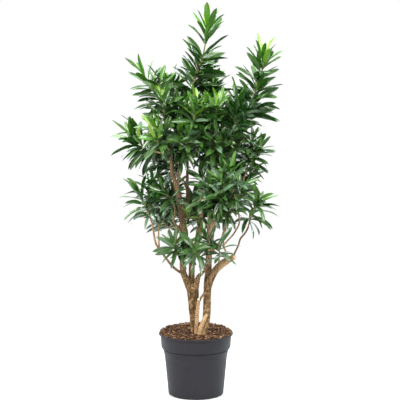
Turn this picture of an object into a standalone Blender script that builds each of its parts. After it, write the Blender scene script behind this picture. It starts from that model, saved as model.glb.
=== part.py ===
# A potted dracaena with plain green leaves: a black nursery pot filled with bark soil, two thick
# stems and a thin one, their boughs, and the masses of leaves that grow on the boughs.
# Metres, +Z up. The origin is the middle of the pot's flat underside, and +Y points away from the viewer.

import math

import bmesh
import bpy
from mathutils import Matrix, Quaternion, Vector
from mathutils.bvhtree import BVHTree

OBJECT_NAME = "potted_dracaena"
CLEARANCE = 0.0003
MERGE_DISTANCE = 0.00001

# The point that the plant's places were read from, in front of the pot and level with the leaves' top.
EYE_DISTANCE = 5.5
EYE_HEIGHT = 1.5
EYE_ASIDE = 0.016

# Pot: a turned shell with a rolled lip, a collar, a step below it and a slightly tapering body.
POT_HEIGHT = 0.250
POT_STEPS = 32
POT_WALL = 0.003
POT_FLOOR = 0.004
LIP_RADIUS = 0.150
LIP_HEIGHT = 0.006
COLLAR_RADIUS = 0.1425
COLLAR_FOOT_RADIUS = 0.1388
COLLAR_DEPTH = 0.058
STEP_HEIGHT = 0.008
BODY_RADIUS = 0.131
WAIST_RADIUS = 0.1255
WAIST_HEIGHT = 0.155
BASE_RADIUS = 0.1105
BASE_ROUNDING = 0.005
NOTCH_COUNT = 6
NOTCH_WIDTH = 0.016
NOTCH_HEIGHT = 0.004
NOTCH_REACH = 0.014
POT_EDGE_ANGLE = math.radians(35)

# Soil: nearly level with the lip, flat where the stems stand and uneven round them.
SOIL_LEVEL = 0.246
SOIL_EDGE_LEVEL = 0.240
SOIL_FLAT_RADIUS = 0.064
SOIL_UNEVENNESS = 0.005
SOIL_RINGS = 3
SOIL_SEED = 7

# Limbs and twigs: spacing of the points along them and the sides of their round sections.
TRUNK_SPACING = 0.022
TRUNK_SIDES = 10
BOUGH_SPACING = 0.045
BOUGH_SIDES = 6
SHOOT_SPACING = 0.055
SHOOT_SIDES = 4
TWIG_SIDES = 4
SHOOT_RADIUS = 0.0042
SHOOT_TIP_RADIUS = 0.0026
SHOOT_LIMB_SHARE = 0.86
SHOOT_ROOT_DEPTH = 0.004
LINE_END = 0.9999

# Leaves: lance-shaped, in a spiral up the shoot, upright and short at the tip, spread and hanging below.
LEAF_LENGTH = 0.118
LEAF_SLIMNESS = 0.25
LEAF_THICKNESS = 0.015
LEAF_BELLY = 0.42
LEAF_LEAST_SHARE = 0.88
LEAF_LENGTH_CHANGE = 0.2
TIP_LEAF_SHARE = 0.80
GROWN_AGE = 0.25
YOUNG_SPREAD = math.radians(16)
OLD_SPREAD = math.radians(92)
SPREAD_POWER = 0.75
SPREAD_CHANGE = 0.25
GOLDEN_ANGLE = math.radians(137.5)
LEAF_ROLL = math.radians(55)
LEAF_LEAST_ROLL = 0.35
ROOT_HANG = 0.35
LEAF_CLEARANCE = 0.0007
ROOT_DEPTH = 0.6
FUSED_STRETCH = 0.012
LEAF_REACH = 0.6

# Twigs leave the middle of a shoot at this angle and bend upwards. Leaves grow on their outer part.
TWIG_ANGLE = math.radians(48)
TWIG_RADIUS = 0.0028
TWIG_TIP_SHARE = 0.8
TWIG_LENGTH = 0.10
TWIG_LENGTH_CHANGE = 0.03
TWIG_FIRST = 0.25
TWIG_STRETCH = 0.45
TWIG_RISE = 0.8
TWIG_BARE_SHARE = 0.45

BARK = ((0.46, 0.33, 0.20), 0.85)
PALE_BARK = ((0.62, 0.49, 0.32), 0.75)
REDDISH_BARK = ((0.30, 0.19, 0.12), 0.85)
POT_PLASTIC = ((0.045, 0.045, 0.052), 0.45)
SOIL_BROWN = ((0.16, 0.09, 0.05), 0.95)
DARK_LEAF = ((0.035, 0.13, 0.03), 0.42)
GREEN_LEAF = ((0.06, 0.22, 0.035), 0.40)
BRIGHT_LEAF = ((0.20, 0.46, 0.06), 0.38)

# Each limb: the limbs that its foot is cut clear of, then places up to its tip, each with the distance
# across and up as seen from the front, how far behind the pot's middle it lies, and the limb's radius.
TRUNKS = {
    "trunk_left": [(-0.003, 0.235, 0.015, 0.0165), (-0.007, 0.310, 0.015, 0.0182),
                   (-0.010, 0.380, 0.012, 0.0222), (-0.013, 0.425, 0.010, 0.0246),
                   (-0.015, 0.445, 0.010, 0.0240)],
    "trunk_right": [(0.026, 0.235, -0.030, 0.0140), (0.036, 0.275, -0.026, 0.0155),
                    (0.043, 0.320, -0.020, 0.0155), (0.046, 0.420, -0.010, 0.0155),
                    (0.051, 0.470, -0.006, 0.0185)],
    "stem_front": [(0.001, 0.235, -0.030, 0.0083), (0.004, 0.308, -0.034, 0.0075),
                   (0.009, 0.360, -0.040, 0.0068), (0.012, 0.384, -0.042, 0.0064)],
}
BOUGHS = {
    "bough_left": (["trunk_left"], BARK, [
        (-0.026, 0.432, 0.010, 0.0150), (-0.040, 0.468, 0.008, 0.0138), (-0.050, 0.493, 0.004, 0.0125),
        (-0.052, 0.536, 0.000, 0.0125), (-0.045, 0.580, 0.000, 0.0125), (-0.045, 0.640, -0.005, 0.0135),
        (-0.053, 0.705, -0.010, 0.0135), (-0.069, 0.805, -0.015, 0.0125), (-0.077, 0.850, -0.015, 0.0115)]),
    "bough_left_outer": (["bough_left"], PALE_BARK, [
        (-0.078, 0.842, -0.015, 0.0080), (-0.093, 0.890, -0.020, 0.0078), (-0.098, 0.960, -0.025, 0.0070),
        (-0.108, 1.030, -0.030, 0.0062), (-0.124, 1.110, -0.035, 0.0055)]),
    "bough_left_inner": (["bough_left", "bough_left_outer"], PALE_BARK, [
        (-0.075, 0.842, -0.012, 0.0070), (-0.066, 0.890, 0.000, 0.0068), (-0.062, 0.980, 0.020, 0.0060),
        (-0.066, 1.050, 0.030, 0.0052)]),
    "bough_left_young": (["bough_left"], PALE_BARK, [
        (-0.048, 0.650, -0.008, 0.0050), (-0.072, 0.675, -0.030, 0.0048), (-0.088, 0.705, -0.045, 0.0046),
        (-0.083, 0.730, -0.052, 0.0044), (-0.083, 0.755, -0.056, 0.0040)]),
    "bough_crossing": (["bough_left"], REDDISH_BARK, [
        (-0.052, 0.545, 0.004, 0.0085), (-0.074, 0.592, 0.035, 0.0080), (-0.081, 0.640, 0.050, 0.0078),
        (-0.060, 0.685, 0.060, 0.0074), (-0.036, 0.745, 0.065, 0.0072), (-0.034, 0.870, 0.075, 0.0062),
        (-0.033, 0.940, 0.085, 0.0055)]),
    "bough_left_thin": (["bough_left"], BARK, [
        (-0.046, 0.484, 0.006, 0.0055), (-0.090, 0.515, -0.020, 0.0052), (-0.141, 0.581, -0.035, 0.0046),
        (-0.160, 0.612, -0.038, 0.0044), (-0.171, 0.680, -0.038, 0.0040)]),
    "bough_middle": (["trunk_left", "bough_left"], BARK, [
        (-0.014, 0.434, 0.014, 0.0130), (-0.017, 0.483, 0.022, 0.0124), (-0.012, 0.564, 0.030, 0.0122),
        (0.004, 0.612, 0.034, 0.0120), (0.013, 0.670, 0.036, 0.0115), (0.021, 0.785, 0.036, 0.0090),
        (0.022, 0.865, 0.036, 0.0080), (0.021, 0.950, 0.036, 0.0085)]),
    "bough_middle_left": (["bough_middle"], PALE_BARK, [
        (0.020, 0.942, 0.036, 0.0062), (0.009, 0.975, 0.034, 0.0060), (-0.003, 1.043, 0.032, 0.0056),
        (-0.011, 1.120, 0.030, 0.0052), (-0.013, 1.170, 0.030, 0.0048)]),
    "bough_middle_right": (["bough_middle", "bough_middle_left"], PALE_BARK, [
        (0.022, 0.942, 0.036, 0.0058), (0.044, 0.974, 0.030, 0.0056), (0.062, 1.010, 0.020, 0.0052),
        (0.074, 1.050, 0.010, 0.0048)]),
    "bough_middle_thin": (["trunk_left", "bough_left", "bough_middle"], BARK, [
        (0.000, 0.432, 0.002, 0.0125), (0.005, 0.460, -0.008, 0.0112), (0.012, 0.479, -0.020, 0.0084),
        (0.026, 0.491, -0.040, 0.0058), (0.040, 0.515, -0.060, 0.0050), (0.048, 0.665, -0.085, 0.0046),
        (0.050, 0.760, -0.105, 0.0044)]),
    "bough_right": (["trunk_right"], BARK, [
        (0.047, 0.458, -0.005, 0.0145), (0.050, 0.500, 0.002, 0.0140), (0.051, 0.548, 0.008, 0.0130),
        (0.063, 0.656, 0.014, 0.0110), (0.076, 0.785, 0.010, 0.0090), (0.091, 0.884, 0.005, 0.0080),
        (0.119, 0.955, 0.000, 0.0072), (0.158, 0.997, -0.005, 0.0066), (0.190, 1.036, -0.008, 0.0060),
        (0.203, 1.090, -0.010, 0.0056)]),
    "bough_right_low": (["bough_right", "bough_right_stub"], BARK, [
        (0.050, 0.488, 0.000, 0.0055), (0.034, 0.508, -0.032, 0.0052), (0.020, 0.530, -0.070, 0.0048),
        (0.008, 0.554, -0.104, 0.0044)]),
    "bough_right_stub": (["trunk_right", "bough_right"], PALE_BARK, [
        (0.056, 0.456, -0.008, 0.0132), (0.074, 0.495, -0.014, 0.0142), (0.095, 0.520, -0.020, 0.0152),
        (0.119, 0.538, -0.024, 0.0144), (0.149, 0.555, -0.030, 0.0106)]),
    "bough_stub_inner": (["bough_right_stub"], PALE_BARK, [
        (0.134, 0.546, -0.027, 0.0040), (0.116, 0.585, -0.034, 0.0038), (0.108, 0.604, -0.036, 0.0056)]),
    "bough_stub_inner_left": (["bough_stub_inner"], PALE_BARK, [
        (0.109, 0.599, -0.036, 0.0032), (0.113, 0.644, -0.045, 0.0034), (0.127, 0.690, -0.062, 0.0034),
        (0.132, 0.717, -0.075, 0.0034)]),
    "bough_stub_inner_right": (["bough_stub_inner", "bough_stub_inner_left"], PALE_BARK, [
        (0.108, 0.599, -0.036, 0.0032), (0.122, 0.617, -0.032, 0.0036), (0.151, 0.650, -0.040, 0.0036),
        (0.173, 0.697, -0.055, 0.0036), (0.157, 0.780, -0.095, 0.0036)]),
    "bough_stub_outer": (["bough_right_stub"], REDDISH_BARK, [
        (0.145, 0.552, -0.029, 0.0042), (0.169, 0.603, -0.032, 0.0038), (0.177, 0.629, -0.034, 0.0040),
        (0.197, 0.654, -0.036, 0.0038), (0.209, 0.678, -0.036, 0.0038)]),
    "bough_right_outer": (["bough_right"], BARK, [
        (0.054, 0.570, 0.009, 0.0065), (0.082, 0.600, 0.030, 0.0060), (0.100, 0.622, 0.038, 0.0058),
        (0.115, 0.669, 0.042, 0.0054), (0.133, 0.721, 0.042, 0.0050), (0.167, 0.805, 0.036, 0.0046),
        (0.197, 0.895, 0.030, 0.0042)]),
    "bough_front": (["stem_front"], PALE_BARK, [
        (0.012, 0.376, -0.042, 0.0048), (0.028, 0.402, -0.050, 0.0046), (0.044, 0.416, -0.052, 0.0044),
        (0.058, 0.431, -0.050, 0.0042), (0.068, 0.462, -0.055, 0.0040), (0.084, 0.495, -0.070, 0.0038),
        (0.093, 0.548, -0.085, 0.0036)]),
}

# Each mass: the limb it grows on, how far up that limb (1 is its tip), places along its own stem
# (across, up, behind), the leafy stretches of the stem as (from, to, leaves), how strongly the leaves
# hang, how many twigs it has, the leaves on each twig, and its colour. Some also say how far their
# oldest leaves spread from the stem.
MASSES = {
    "mass_top": dict(
        limb="bough_middle_left", at=1.0, stretches=[(0.04, 0.62, 21), (0.74, 1.0, 12)],
        hang=0.10, spread=math.radians(78), colour=GREEN_LEAF,
        stem=[(-0.011, 1.225, 0.030), (0.002, 1.280, 0.020), (0.023, 1.330, 0.005), (0.035, 1.390, 0.0),
              (0.047, 1.476, 0.0)]),
    "mass_right_top": dict(
        limb="bough_right", at=1.0, stretches=[(0.0, 0.68, 21), (0.80, 1.0, 10)],
        hang=0.16, spread=math.radians(78), colour=GREEN_LEAF,
        stem=[(0.220, 1.140, -0.010), (0.231, 1.200, -0.010), (0.250, 1.300, -0.020),
              (0.262, 1.355, -0.030)]),
    "mass_left_top": dict(
        limb="bough_left_outer", at=1.0, stretches=[(0.10, 1.0, 17)], hang=0.30, colour=GREEN_LEAF,
        stem=[(-0.135, 1.160, -0.040), (-0.160, 1.210, -0.045), (-0.185, 1.250, -0.050),
              (-0.207, 1.282, -0.050)]),
    "mass_left_bright": dict(
        limb="bough_left_outer", at=0.85, stretches=[(0.30, 1.0, 12)], hang=0.12, colour=BRIGHT_LEAF,
        stem=[(-0.122, 1.105, -0.080), (-0.127, 1.155, -0.100), (-0.133, 1.200, -0.100)]),
    "mass_crest": dict(
        limb="bough_left_inner", at=1.0, stretches=[(0.30, 1.0, 13)], hang=0.20, colour=GREEN_LEAF,
        stem=[(-0.078, 1.110, 0.060), (-0.096, 1.190, 0.080), (-0.104, 1.255, 0.080)]),
    "mass_middle_back": dict(
        limb="bough_middle", at=0.48, stretches=[(0.30, 1.0, 13)], hang=0.55, colour=DARK_LEAF,
        stem=[(0.014, 0.705, 0.100), (0.000, 0.750, 0.145), (-0.005, 0.800, 0.160)]),
    "mass_left_centre": dict(
        limb="bough_left_inner", at=0.80, stretches=[(0.20, 1.0, 14)], hang=0.80, colour=DARK_LEAF,
        stem=[(-0.052, 1.060, -0.020), (-0.050, 1.120, -0.040), (-0.055, 1.170, -0.045)]),
    "mass_centre_front": dict(
        limb="bough_middle_left", at=0.40, stretches=[(0.25, 1.0, 20)], hang=0.40, colour=BRIGHT_LEAF,
        stem=[(-0.008, 1.055, -0.050), (-0.007, 1.095, -0.110), (-0.004, 1.130, -0.125),
              (0.001, 1.172, -0.125)]),
    "mass_right_bright": dict(
        limb="bough_middle_right", at=1.0, stretches=[(0.25, 1.0, 13)], hang=0.18, colour=BRIGHT_LEAF,
        stem=[(0.080, 1.085, -0.030), (0.086, 1.130, -0.070), (0.092, 1.168, -0.080)]),
    "mass_top_back": dict(
        limb="bough_middle_left", at=0.75, stretches=[(0.30, 1.0, 13)], hang=0.15, colour=GREEN_LEAF,
        stem=[(0.028, 1.140, 0.080), (0.055, 1.200, 0.110), (0.075, 1.255, 0.115)]),
    "mass_centre": dict(
        limb="bough_middle_right", at=0.60, stretches=[(0.22, 1.0, 13)], hang=0.90, colour=DARK_LEAF,
        stem=[(0.064, 1.040, 0.060), (0.060, 1.090, 0.080), (0.066, 1.140, 0.075)]),
    "mass_centre_right": dict(
        limb="bough_middle_right", at=0.35, stretches=[(0.05, 1.0, 16)], hang=1.20, colour=DARK_LEAF,
        stem=[(0.060, 0.965, -0.050), (0.076, 0.990, -0.105), (0.084, 1.022, -0.135)]),
    "mass_front_middle": dict(
        limb="bough_left_inner", at=0.35, stretches=[(0.32, 1.0, 14)], hang=1.20, colour=DARK_LEAF,
        stem=[(-0.052, 0.965, -0.055), (-0.036, 1.005, -0.120), (-0.028, 1.045, -0.145)]),
    "mass_left_middle": dict(
        limb="bough_left_outer", at=0.42, stretches=[(0.30, 1.0, 22)], hang=1.05, colour=GREEN_LEAF,
        leaf_length=0.108,
        stem=[(-0.141, 0.972, -0.030), (-0.190, 0.980, -0.030), (-0.232, 1.002, -0.025),
              (-0.258, 1.044, -0.020)]),
    "mass_left_front": dict(
        limb="bough_left_outer", at=0.52, stretches=[(0.38, 1.0, 13)], hang=0.90, colour=BRIGHT_LEAF,
        stem=[(-0.112, 0.995, -0.070), (-0.126, 1.030, -0.120), (-0.152, 1.068, -0.140)]),
    "mass_left_low": dict(
        limb="bough_left_thin", at=1.0, stretches=[(0.26, 1.0, 22)], hang=1.25, colour=GREEN_LEAF,
        leaf_length=0.112,
        stem=[(-0.186, 0.729, -0.036), (-0.202, 0.764, -0.034), (-0.216, 0.790, -0.030),
              (-0.222, 0.816, -0.030)]),
    "mass_left_inner": dict(
        limb="bough_left_thin", at=0.62, stretches=[(0.45, 1.0, 13)], hang=0.45, colour=GREEN_LEAF,
        stem=[(-0.148, 0.660, 0.020), (-0.136, 0.750, 0.040), (-0.138, 0.850, 0.040)]),
    "mass_young_left": dict(
        limb="bough_left_young", at=1.0, stretches=[(0.12, 1.0, 13)], hang=1.20, colour=DARK_LEAF,
        stem=[(-0.098, 0.788, -0.070), (-0.124, 0.815, -0.086)]),
    "mass_trunk_tuft": dict(
        limb="bough_left", at=0.66, stretches=[(0.35, 1.0, 6)],
        hang=0.80, colour=BRIGHT_LEAF, leaf_length=0.055,
        stem=[(-0.030, 0.715, -0.030), (-0.024, 0.732, -0.036)]),
    "mass_middle_tuft": dict(
        limb="bough_middle", at=0.48, stretches=[(0.40, 1.0, 6)],
        hang=1.00, colour=DARK_LEAF, leaf_length=0.055,
        stem=[(0.002, 0.706, 0.022), (-0.006, 0.718, 0.010)]),
    "mass_left_low_front": dict(
        limb="bough_left", at=0.28, stretches=[(0.40, 1.0, 15)], hang=0.90, colour=DARK_LEAF,
        stem=[(-0.070, 0.568, -0.040), (-0.083, 0.592, -0.085), (-0.088, 0.610, -0.110)]),
    "mass_front_low": dict(
        limb="bough_right_low", at=1.0, stretches=[(0.05, 1.0, 18)], hang=0.90, colour=GREEN_LEAF,
        stem=[(0.004, 0.568, -0.124), (0.001, 0.584, -0.142), (0.000, 0.602, -0.150)]),
    "mass_right_low": dict(
        limb="bough_front", at=1.0, stretches=[(0.05, 1.0, 13)], hang=1.00, colour=DARK_LEAF,
        stem=[(0.094, 0.575, -0.094), (0.092, 0.612, -0.100)]),
    "mass_right_low_front": dict(
        limb="bough_stub_inner_left", at=1.0, stretches=[(0.06, 1.0, 18)], hang=1.20, colour=DARK_LEAF,
        stem=[(0.120, 0.755, -0.115), (0.106, 0.795, -0.145), (0.102, 0.825, -0.155)]),
    "mass_right_front": dict(
        limb="bough_stub_inner_right", at=1.0, stretches=[(0.10, 1.0, 18)], hang=1.00, colour=GREEN_LEAF,
        stem=[(0.148, 0.825, -0.120), (0.138, 0.868, -0.148), (0.132, 0.902, -0.158)]),
    "mass_centre_low": dict(
        limb="bough_middle_thin", at=1.0, stretches=[(0.05, 1.0, 20)], hang=0.90, colour=DARK_LEAF,
        stem=[(0.050, 0.805, -0.122), (0.048, 0.850, -0.146)]),
    "mass_right_hanging": dict(
        limb="bough_stub_outer", at=1.0, stretches=[(0.15, 1.0, 20)], hang=1.55, colour=GREEN_LEAF,
        leaf_length=0.108,
        stem=[(0.217, 0.712, -0.036), (0.230, 0.745, -0.036), (0.247, 0.775, -0.034)]),
    "mass_right_middle": dict(
        limb="bough_right_outer", at=1.0, stretches=[(0.12, 1.0, 18)], hang=0.85, colour=GREEN_LEAF,
        stem=[(0.208, 0.932, 0.026), (0.222, 0.972, 0.020), (0.240, 0.998, 0.020)]),
    "mass_right_middle_low": dict(
        limb="bough_right_outer", at=0.86, stretches=[(0.25, 1.0, 12)], hang=0.90, colour=GREEN_LEAF,
        stem=[(0.194, 0.850, 0.052), (0.202, 0.860, 0.068), (0.210, 0.872, 0.074)]),
    "mass_right_inner": dict(
        limb="bough_right", at=0.72, stretches=[(0.25, 1.0, 13)], hang=0.15, colour=DARK_LEAF,
        stem=[(0.142, 1.010, -0.060), (0.150, 1.075, -0.085), (0.160, 1.150, -0.085),
              (0.164, 1.198, -0.085)]),
    "mass_back_right": dict(
        limb="bough_right", at=0.60, stretches=[(0.10, 1.0, 17)],
        hang=0.70, colour=DARK_LEAF, twigs=1, twig_leaves=6, leaf_length=0.100,
        stem=[(0.104, 0.930, 0.075), (0.126, 1.000, 0.140), (0.142, 1.080, 0.165), (0.146, 1.120, 0.170)]),
    "mass_back_centre": dict(
        limb="bough_crossing", at=1.0, stretches=[(0.25, 1.0, 15)],
        hang=0.40, colour=DARK_LEAF, twigs=1, twig_leaves=6, leaf_length=0.100,
        stem=[(-0.030, 1.010, 0.120), (-0.035, 1.080, 0.160), (-0.038, 1.150, 0.170)]),
    "mass_back_left": dict(
        limb="bough_crossing", at=0.78, stretches=[(0.35, 1.0, 15)],
        hang=0.40, colour=DARK_LEAF, twigs=1, twig_leaves=6, leaf_length=0.100,
        stem=[(-0.075, 0.885, 0.125), (-0.120, 0.950, 0.165), (-0.142, 1.020, 0.180)]),
    "mass_back_low_left": dict(
        limb="bough_crossing", at=0.36, stretches=[(0.35, 1.0, 13)], hang=0.50, colour=DARK_LEAF,
        stem=[(-0.112, 0.680, 0.090), (-0.140, 0.730, 0.125), (-0.150, 0.785, 0.135)]),
    "mass_back_low_right": dict(
        limb="bough_right_outer", at=0.52, stretches=[(0.30, 1.0, 13)], hang=0.50, colour=DARK_LEAF,
        stem=[(0.144, 0.760, 0.095), (0.160, 0.815, 0.140), (0.165, 0.865, 0.158)]),
    "mass_low_back": dict(
        limb="bough_right", at=0.30, stretches=[(0.35, 1.0, 11)], hang=0.50, colour=DARK_LEAF,
        stem=[(0.072, 0.690, 0.070), (0.080, 0.735, 0.115), (0.082, 0.775, 0.130)]),
}


def clear_scene():
    """Start from an empty scene."""
    for item in list(bpy.data.objects):
        bpy.data.objects.remove(item, do_unlink=True)


def new_collection(name):
    """A collection linked to the scene."""
    collection = bpy.data.collections.new(name)
    bpy.context.scene.collection.children.link(collection)
    return collection


def repeatable(seed, index):
    """A number from 0 to 1 that is the same on every run."""
    value = math.sin(seed * 12.9898 + index * 78.233) * 43758.5453
    return value - math.floor(value)


def seen(across, up, behind):
    """A place read on the upright plane through the pot's middle, carried back along the line of sight."""
    stretch = 1 + behind / EYE_DISTANCE
    sideways = EYE_ASIDE + (across - EYE_ASIDE) * stretch
    return Vector((sideways, behind, EYE_HEIGHT + (up - EYE_HEIGHT) * stretch))


def paint(item, finish):
    """Give an object a material of its own in the given colour and roughness."""
    colour, roughness = finish
    material = bpy.data.materials.new(item.name)
    material.use_nodes = True
    shader = material.node_tree.nodes["Principled BSDF"]
    shader.inputs["Base Color"].default_value = (*colour, 1)
    shader.inputs["Roughness"].default_value = roughness
    shader.inputs["Metallic"].default_value = 0.0
    item.data.materials.clear()
    item.data.materials.append(material)


def mesh_object(name, mesh, collection):
    """A mesh as an object in a collection."""
    item = bpy.data.objects.new(name, mesh)
    collection.objects.link(item)
    return item


def settle(item):
    """Replace an object's mesh with its modifiers' result."""
    evaluated = item.evaluated_get(bpy.context.evaluated_depsgraph_get())
    mesh = bpy.data.meshes.new_from_object(evaluated)
    item.modifiers.clear()
    item.data = mesh


def make_cutter(item):
    """Mark an object as a guide that is not part of the plant."""
    item.hide_render = True
    item.display_type = "WIRE"


def cutting_cube(name, size, collection):
    """A cube round the origin, as a guide."""
    bpy.ops.mesh.primitive_cube_add(size=size)
    cube = bpy.context.active_object
    cube.name = name
    for home in list(cube.users_collection):
        home.objects.unlink(cube)
    collection.objects.link(cube)
    make_cutter(cube)
    return cube


def turned(name, profile, steps, collection):
    """A profile of (radius, height) points turned round the upright axis."""
    mesh = bpy.data.meshes.new(name)
    points = [(radius, 0, height) for radius, height in profile]
    mesh.from_pydata(points, [(index, index + 1) for index in range(len(points) - 1)], [])
    item = mesh_object(name, mesh, collection)
    screw = item.modifiers.new("turn", "SCREW")
    screw.axis = "Z"
    screw.angle = math.tau
    screw.steps = steps
    screw.render_steps = steps
    screw.use_merge_vertices = True
    screw.merge_threshold = MERGE_DISTANCE
    return item


def pot_outside():
    """The pot's outer side from the lip's top to the underside, as (radius, height)."""
    collar_foot = POT_HEIGHT - COLLAR_DEPTH
    return [
        (LIP_RADIUS - 0.002, POT_HEIGHT),
        (LIP_RADIUS, POT_HEIGHT - 0.002),
        (LIP_RADIUS, POT_HEIGHT - LIP_HEIGHT),
        (COLLAR_RADIUS, POT_HEIGHT - LIP_HEIGHT - 0.001),
        (COLLAR_FOOT_RADIUS, collar_foot),
        (COLLAR_FOOT_RADIUS - 0.003, collar_foot - 0.002),
        (BODY_RADIUS, collar_foot - STEP_HEIGHT),
        (WAIST_RADIUS, WAIST_HEIGHT),
        (BASE_RADIUS, BASE_ROUNDING),
        (BASE_RADIUS - BASE_ROUNDING, 0),
    ]


def pot_inside():
    """The pot's inner side from the floor to the lip, as (radius, height)."""
    collar_foot = POT_HEIGHT - COLLAR_DEPTH
    return [
        (BASE_RADIUS - POT_WALL, POT_FLOOR),
        (WAIST_RADIUS - POT_WALL, WAIST_HEIGHT),
        (BODY_RADIUS - POT_WALL, collar_foot - STEP_HEIGHT + 0.001),
        (COLLAR_FOOT_RADIUS - POT_WALL, collar_foot + 0.001),
        (COLLAR_RADIUS - POT_WALL, POT_HEIGHT - 0.002),
        (COLLAR_RADIUS - POT_WALL + 0.001, POT_HEIGHT),
    ]


def make_pot(parts, cutters):
    """The pot, with small notches under its lower edge."""
    profile = [(0, POT_FLOOR)] + pot_inside() + pot_outside() + [(0, 0)]
    pot = turned("pot", profile, POT_STEPS, parts)
    notches = []
    for index in range(NOTCH_COUNT):
        angle = math.tau * (index + 0.5) / NOTCH_COUNT
        notch = cutting_cube(f"notch_{index}", 1, cutters)
        outwards = Matrix.Translation((BASE_RADIUS - NOTCH_REACH / 2 + 0.004, 0, 0))
        shape = Matrix.Diagonal((NOTCH_REACH, NOTCH_WIDTH, 2 * NOTCH_HEIGHT, 1))
        notch.data.transform(Matrix.Rotation(angle, 4, "Z") @ outwards @ shape)
        notches.append(notch)
    settle(pot)
    cut_away(pot, notches)
    pot.data.shade_smooth()
    pot.data.set_sharp_from_angle(angle=POT_EDGE_ANGLE)
    paint(pot, POT_PLASTIC)


def cut_away(item, cutters):
    """Cut an object clear of others, and keep the result as its mesh."""
    for cutter in cutters:
        cut = item.modifiers.new("cut", "BOOLEAN")
        cut.operation = "DIFFERENCE"
        cut.solver = "EXACT"
        cut.object = cutter
    settle(item)


def make_soil(parts):
    """The soil, a hair clear of the pot's wall and floor, flat in the middle and uneven round it."""
    sides = [(radius - CLEARANCE, height) for radius, height in pot_inside()[1:4]]
    floor = (BASE_RADIUS - POT_WALL - 2 * CLEARANCE, POT_FLOOR + CLEARANCE)
    edge_radius = COLLAR_RADIUS - POT_WALL - 0.001
    rings = []
    for ring in range(SOIL_RINGS + 1):
        share = ring / SOIL_RINGS
        radius = SOIL_FLAT_RADIUS + (edge_radius - SOIL_FLAT_RADIUS) * share
        rings.append((radius, SOIL_LEVEL + (SOIL_EDGE_LEVEL - SOIL_LEVEL) * share))
    profile = [(0, SOIL_LEVEL)] + rings + sides[::-1] + [floor, (0, POT_FLOOR + CLEARANCE)]
    soil = turned("soil", profile, POT_STEPS, parts)
    settle(soil)
    for index, vertex in enumerate(soil.data.vertices):
        from_middle = math.hypot(vertex.co.x, vertex.co.y)
        if vertex.co.z > SOIL_EDGE_LEVEL - 0.001 and from_middle > SOIL_FLAT_RADIUS + 0.001:
            rise = (vertex.co.y / LIP_RADIUS + 1) / 2
            vertex.co.z += SOIL_UNEVENNESS * (repeatable(SOIL_SEED, index) + rise - 0.6)
    paint(soil, SOIL_BROWN)


def smooth_line(places, spacing):
    """Points with radii at about the given spacing on a smooth line through (place, radius) pairs."""
    lengths = [(after[0] - before[0]).length for before, after in zip(places, places[1:])]
    knots = [sum(lengths[:index]) for index in range(len(places))]

    def slope(index):
        first = max(index - 1, 0)
        last = min(index + 1, len(places) - 1)
        return (places[last][0] - places[first][0]) / (knots[last] - knots[first])

    points = []
    for index, length in enumerate(lengths):
        start, start_radius = places[index]
        end, end_radius = places[index + 1]
        pieces = max(1, round(length / spacing))
        for piece in range(pieces):
            t = piece / pieces
            bend_in = slope(index) * length * (t**3 - 2 * t**2 + t)
            bend_out = slope(index + 1) * length * (t**3 - t**2)
            place = start * (2 * t**3 - 3 * t**2 + 1) + end * (3 * t**2 - 2 * t**3) + bend_in + bend_out
            points.append((place, start_radius + (end_radius - start_radius) * t))
    points.append(places[-1])
    return points


def along(points, share):
    """The place, direction and radius at a share of the way along a line of points."""
    lengths = [(after[0] - before[0]).length for before, after in zip(points, points[1:])]
    left = min(share, LINE_END) * sum(lengths)
    for (start, start_radius), (end, end_radius), length in zip(points, points[1:], lengths):
        if left <= length:
            break
        left -= length
    part = min(left / length, 1)
    radius = start_radius + (end_radius - start_radius) * part
    return start.lerp(end, part), (end - start).normalized(), radius


def tube(name, points, sides, collection, grow=0.0):
    """A closed round limb through points with radii, as a mesh, thicker and longer by grow."""
    curve = bpy.data.curves.new(name, "CURVE")
    curve.dimensions = "3D"
    curve.bevel_depth = 1
    curve.bevel_resolution = (sides - 4) // 2
    curve.use_fill_caps = True
    spline = curve.splines.new("POLY")
    spline.points.add(len(points) - 1)
    start_pull = (points[0][0] - points[1][0]).normalized() * grow
    end_pull = (points[-1][0] - points[-2][0]).normalized() * grow
    for index, (target, (place, radius)) in enumerate(zip(spline.points, points)):
        pull = Vector()
        if index == 0:
            pull = start_pull
        if index == len(points) - 1:
            pull = end_pull
        target.co = (*(place + pull), 1)
        target.radius = radius + grow
    guide = bpy.data.objects.new(name, curve)
    collection.objects.link(guide)
    evaluated = guide.evaluated_get(bpy.context.evaluated_depsgraph_get())
    mesh = bpy.data.meshes.new_from_object(evaluated)
    bpy.data.objects.remove(guide, do_unlink=True)
    welded = bmesh.new()
    welded.from_mesh(mesh)
    bmesh.ops.remove_doubles(welded, verts=welded.verts, dist=MERGE_DISTANCE)
    welded.to_mesh(mesh)
    welded.free()
    mesh.shade_smooth()
    return mesh_object(name, mesh, collection)


def clearance_tube(name, points, sides, cutters):
    """A limb grown by the clearance, which cuts what grows on it."""
    cutter = tube(name + "_clearance", points, sides, cutters, grow=CLEARANCE)
    make_cutter(cutter)
    return cutter


def make_trunks(parts, cutters, lines):
    """The three stems, cut flat just above the soil."""
    ground = cutting_cube("ground", LIP_RADIUS * 2, cutters)
    ground.data.transform(Matrix.Translation((0, 0, SOIL_LEVEL + CLEARANCE - LIP_RADIUS)))
    for name, places in TRUNKS.items():
        lines[name] = smooth_line([(seen(*place[:3]), place[3]) for place in places], TRUNK_SPACING)
        trunk = tube(name, lines[name], TRUNK_SIDES, parts)
        cut_away(trunk, [ground])
        clearance_tube(name, lines[name], TRUNK_SIDES, cutters)
        trunk.data.shade_smooth()
        paint(trunk, PALE_BARK if name == "stem_front" else BARK)


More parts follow.
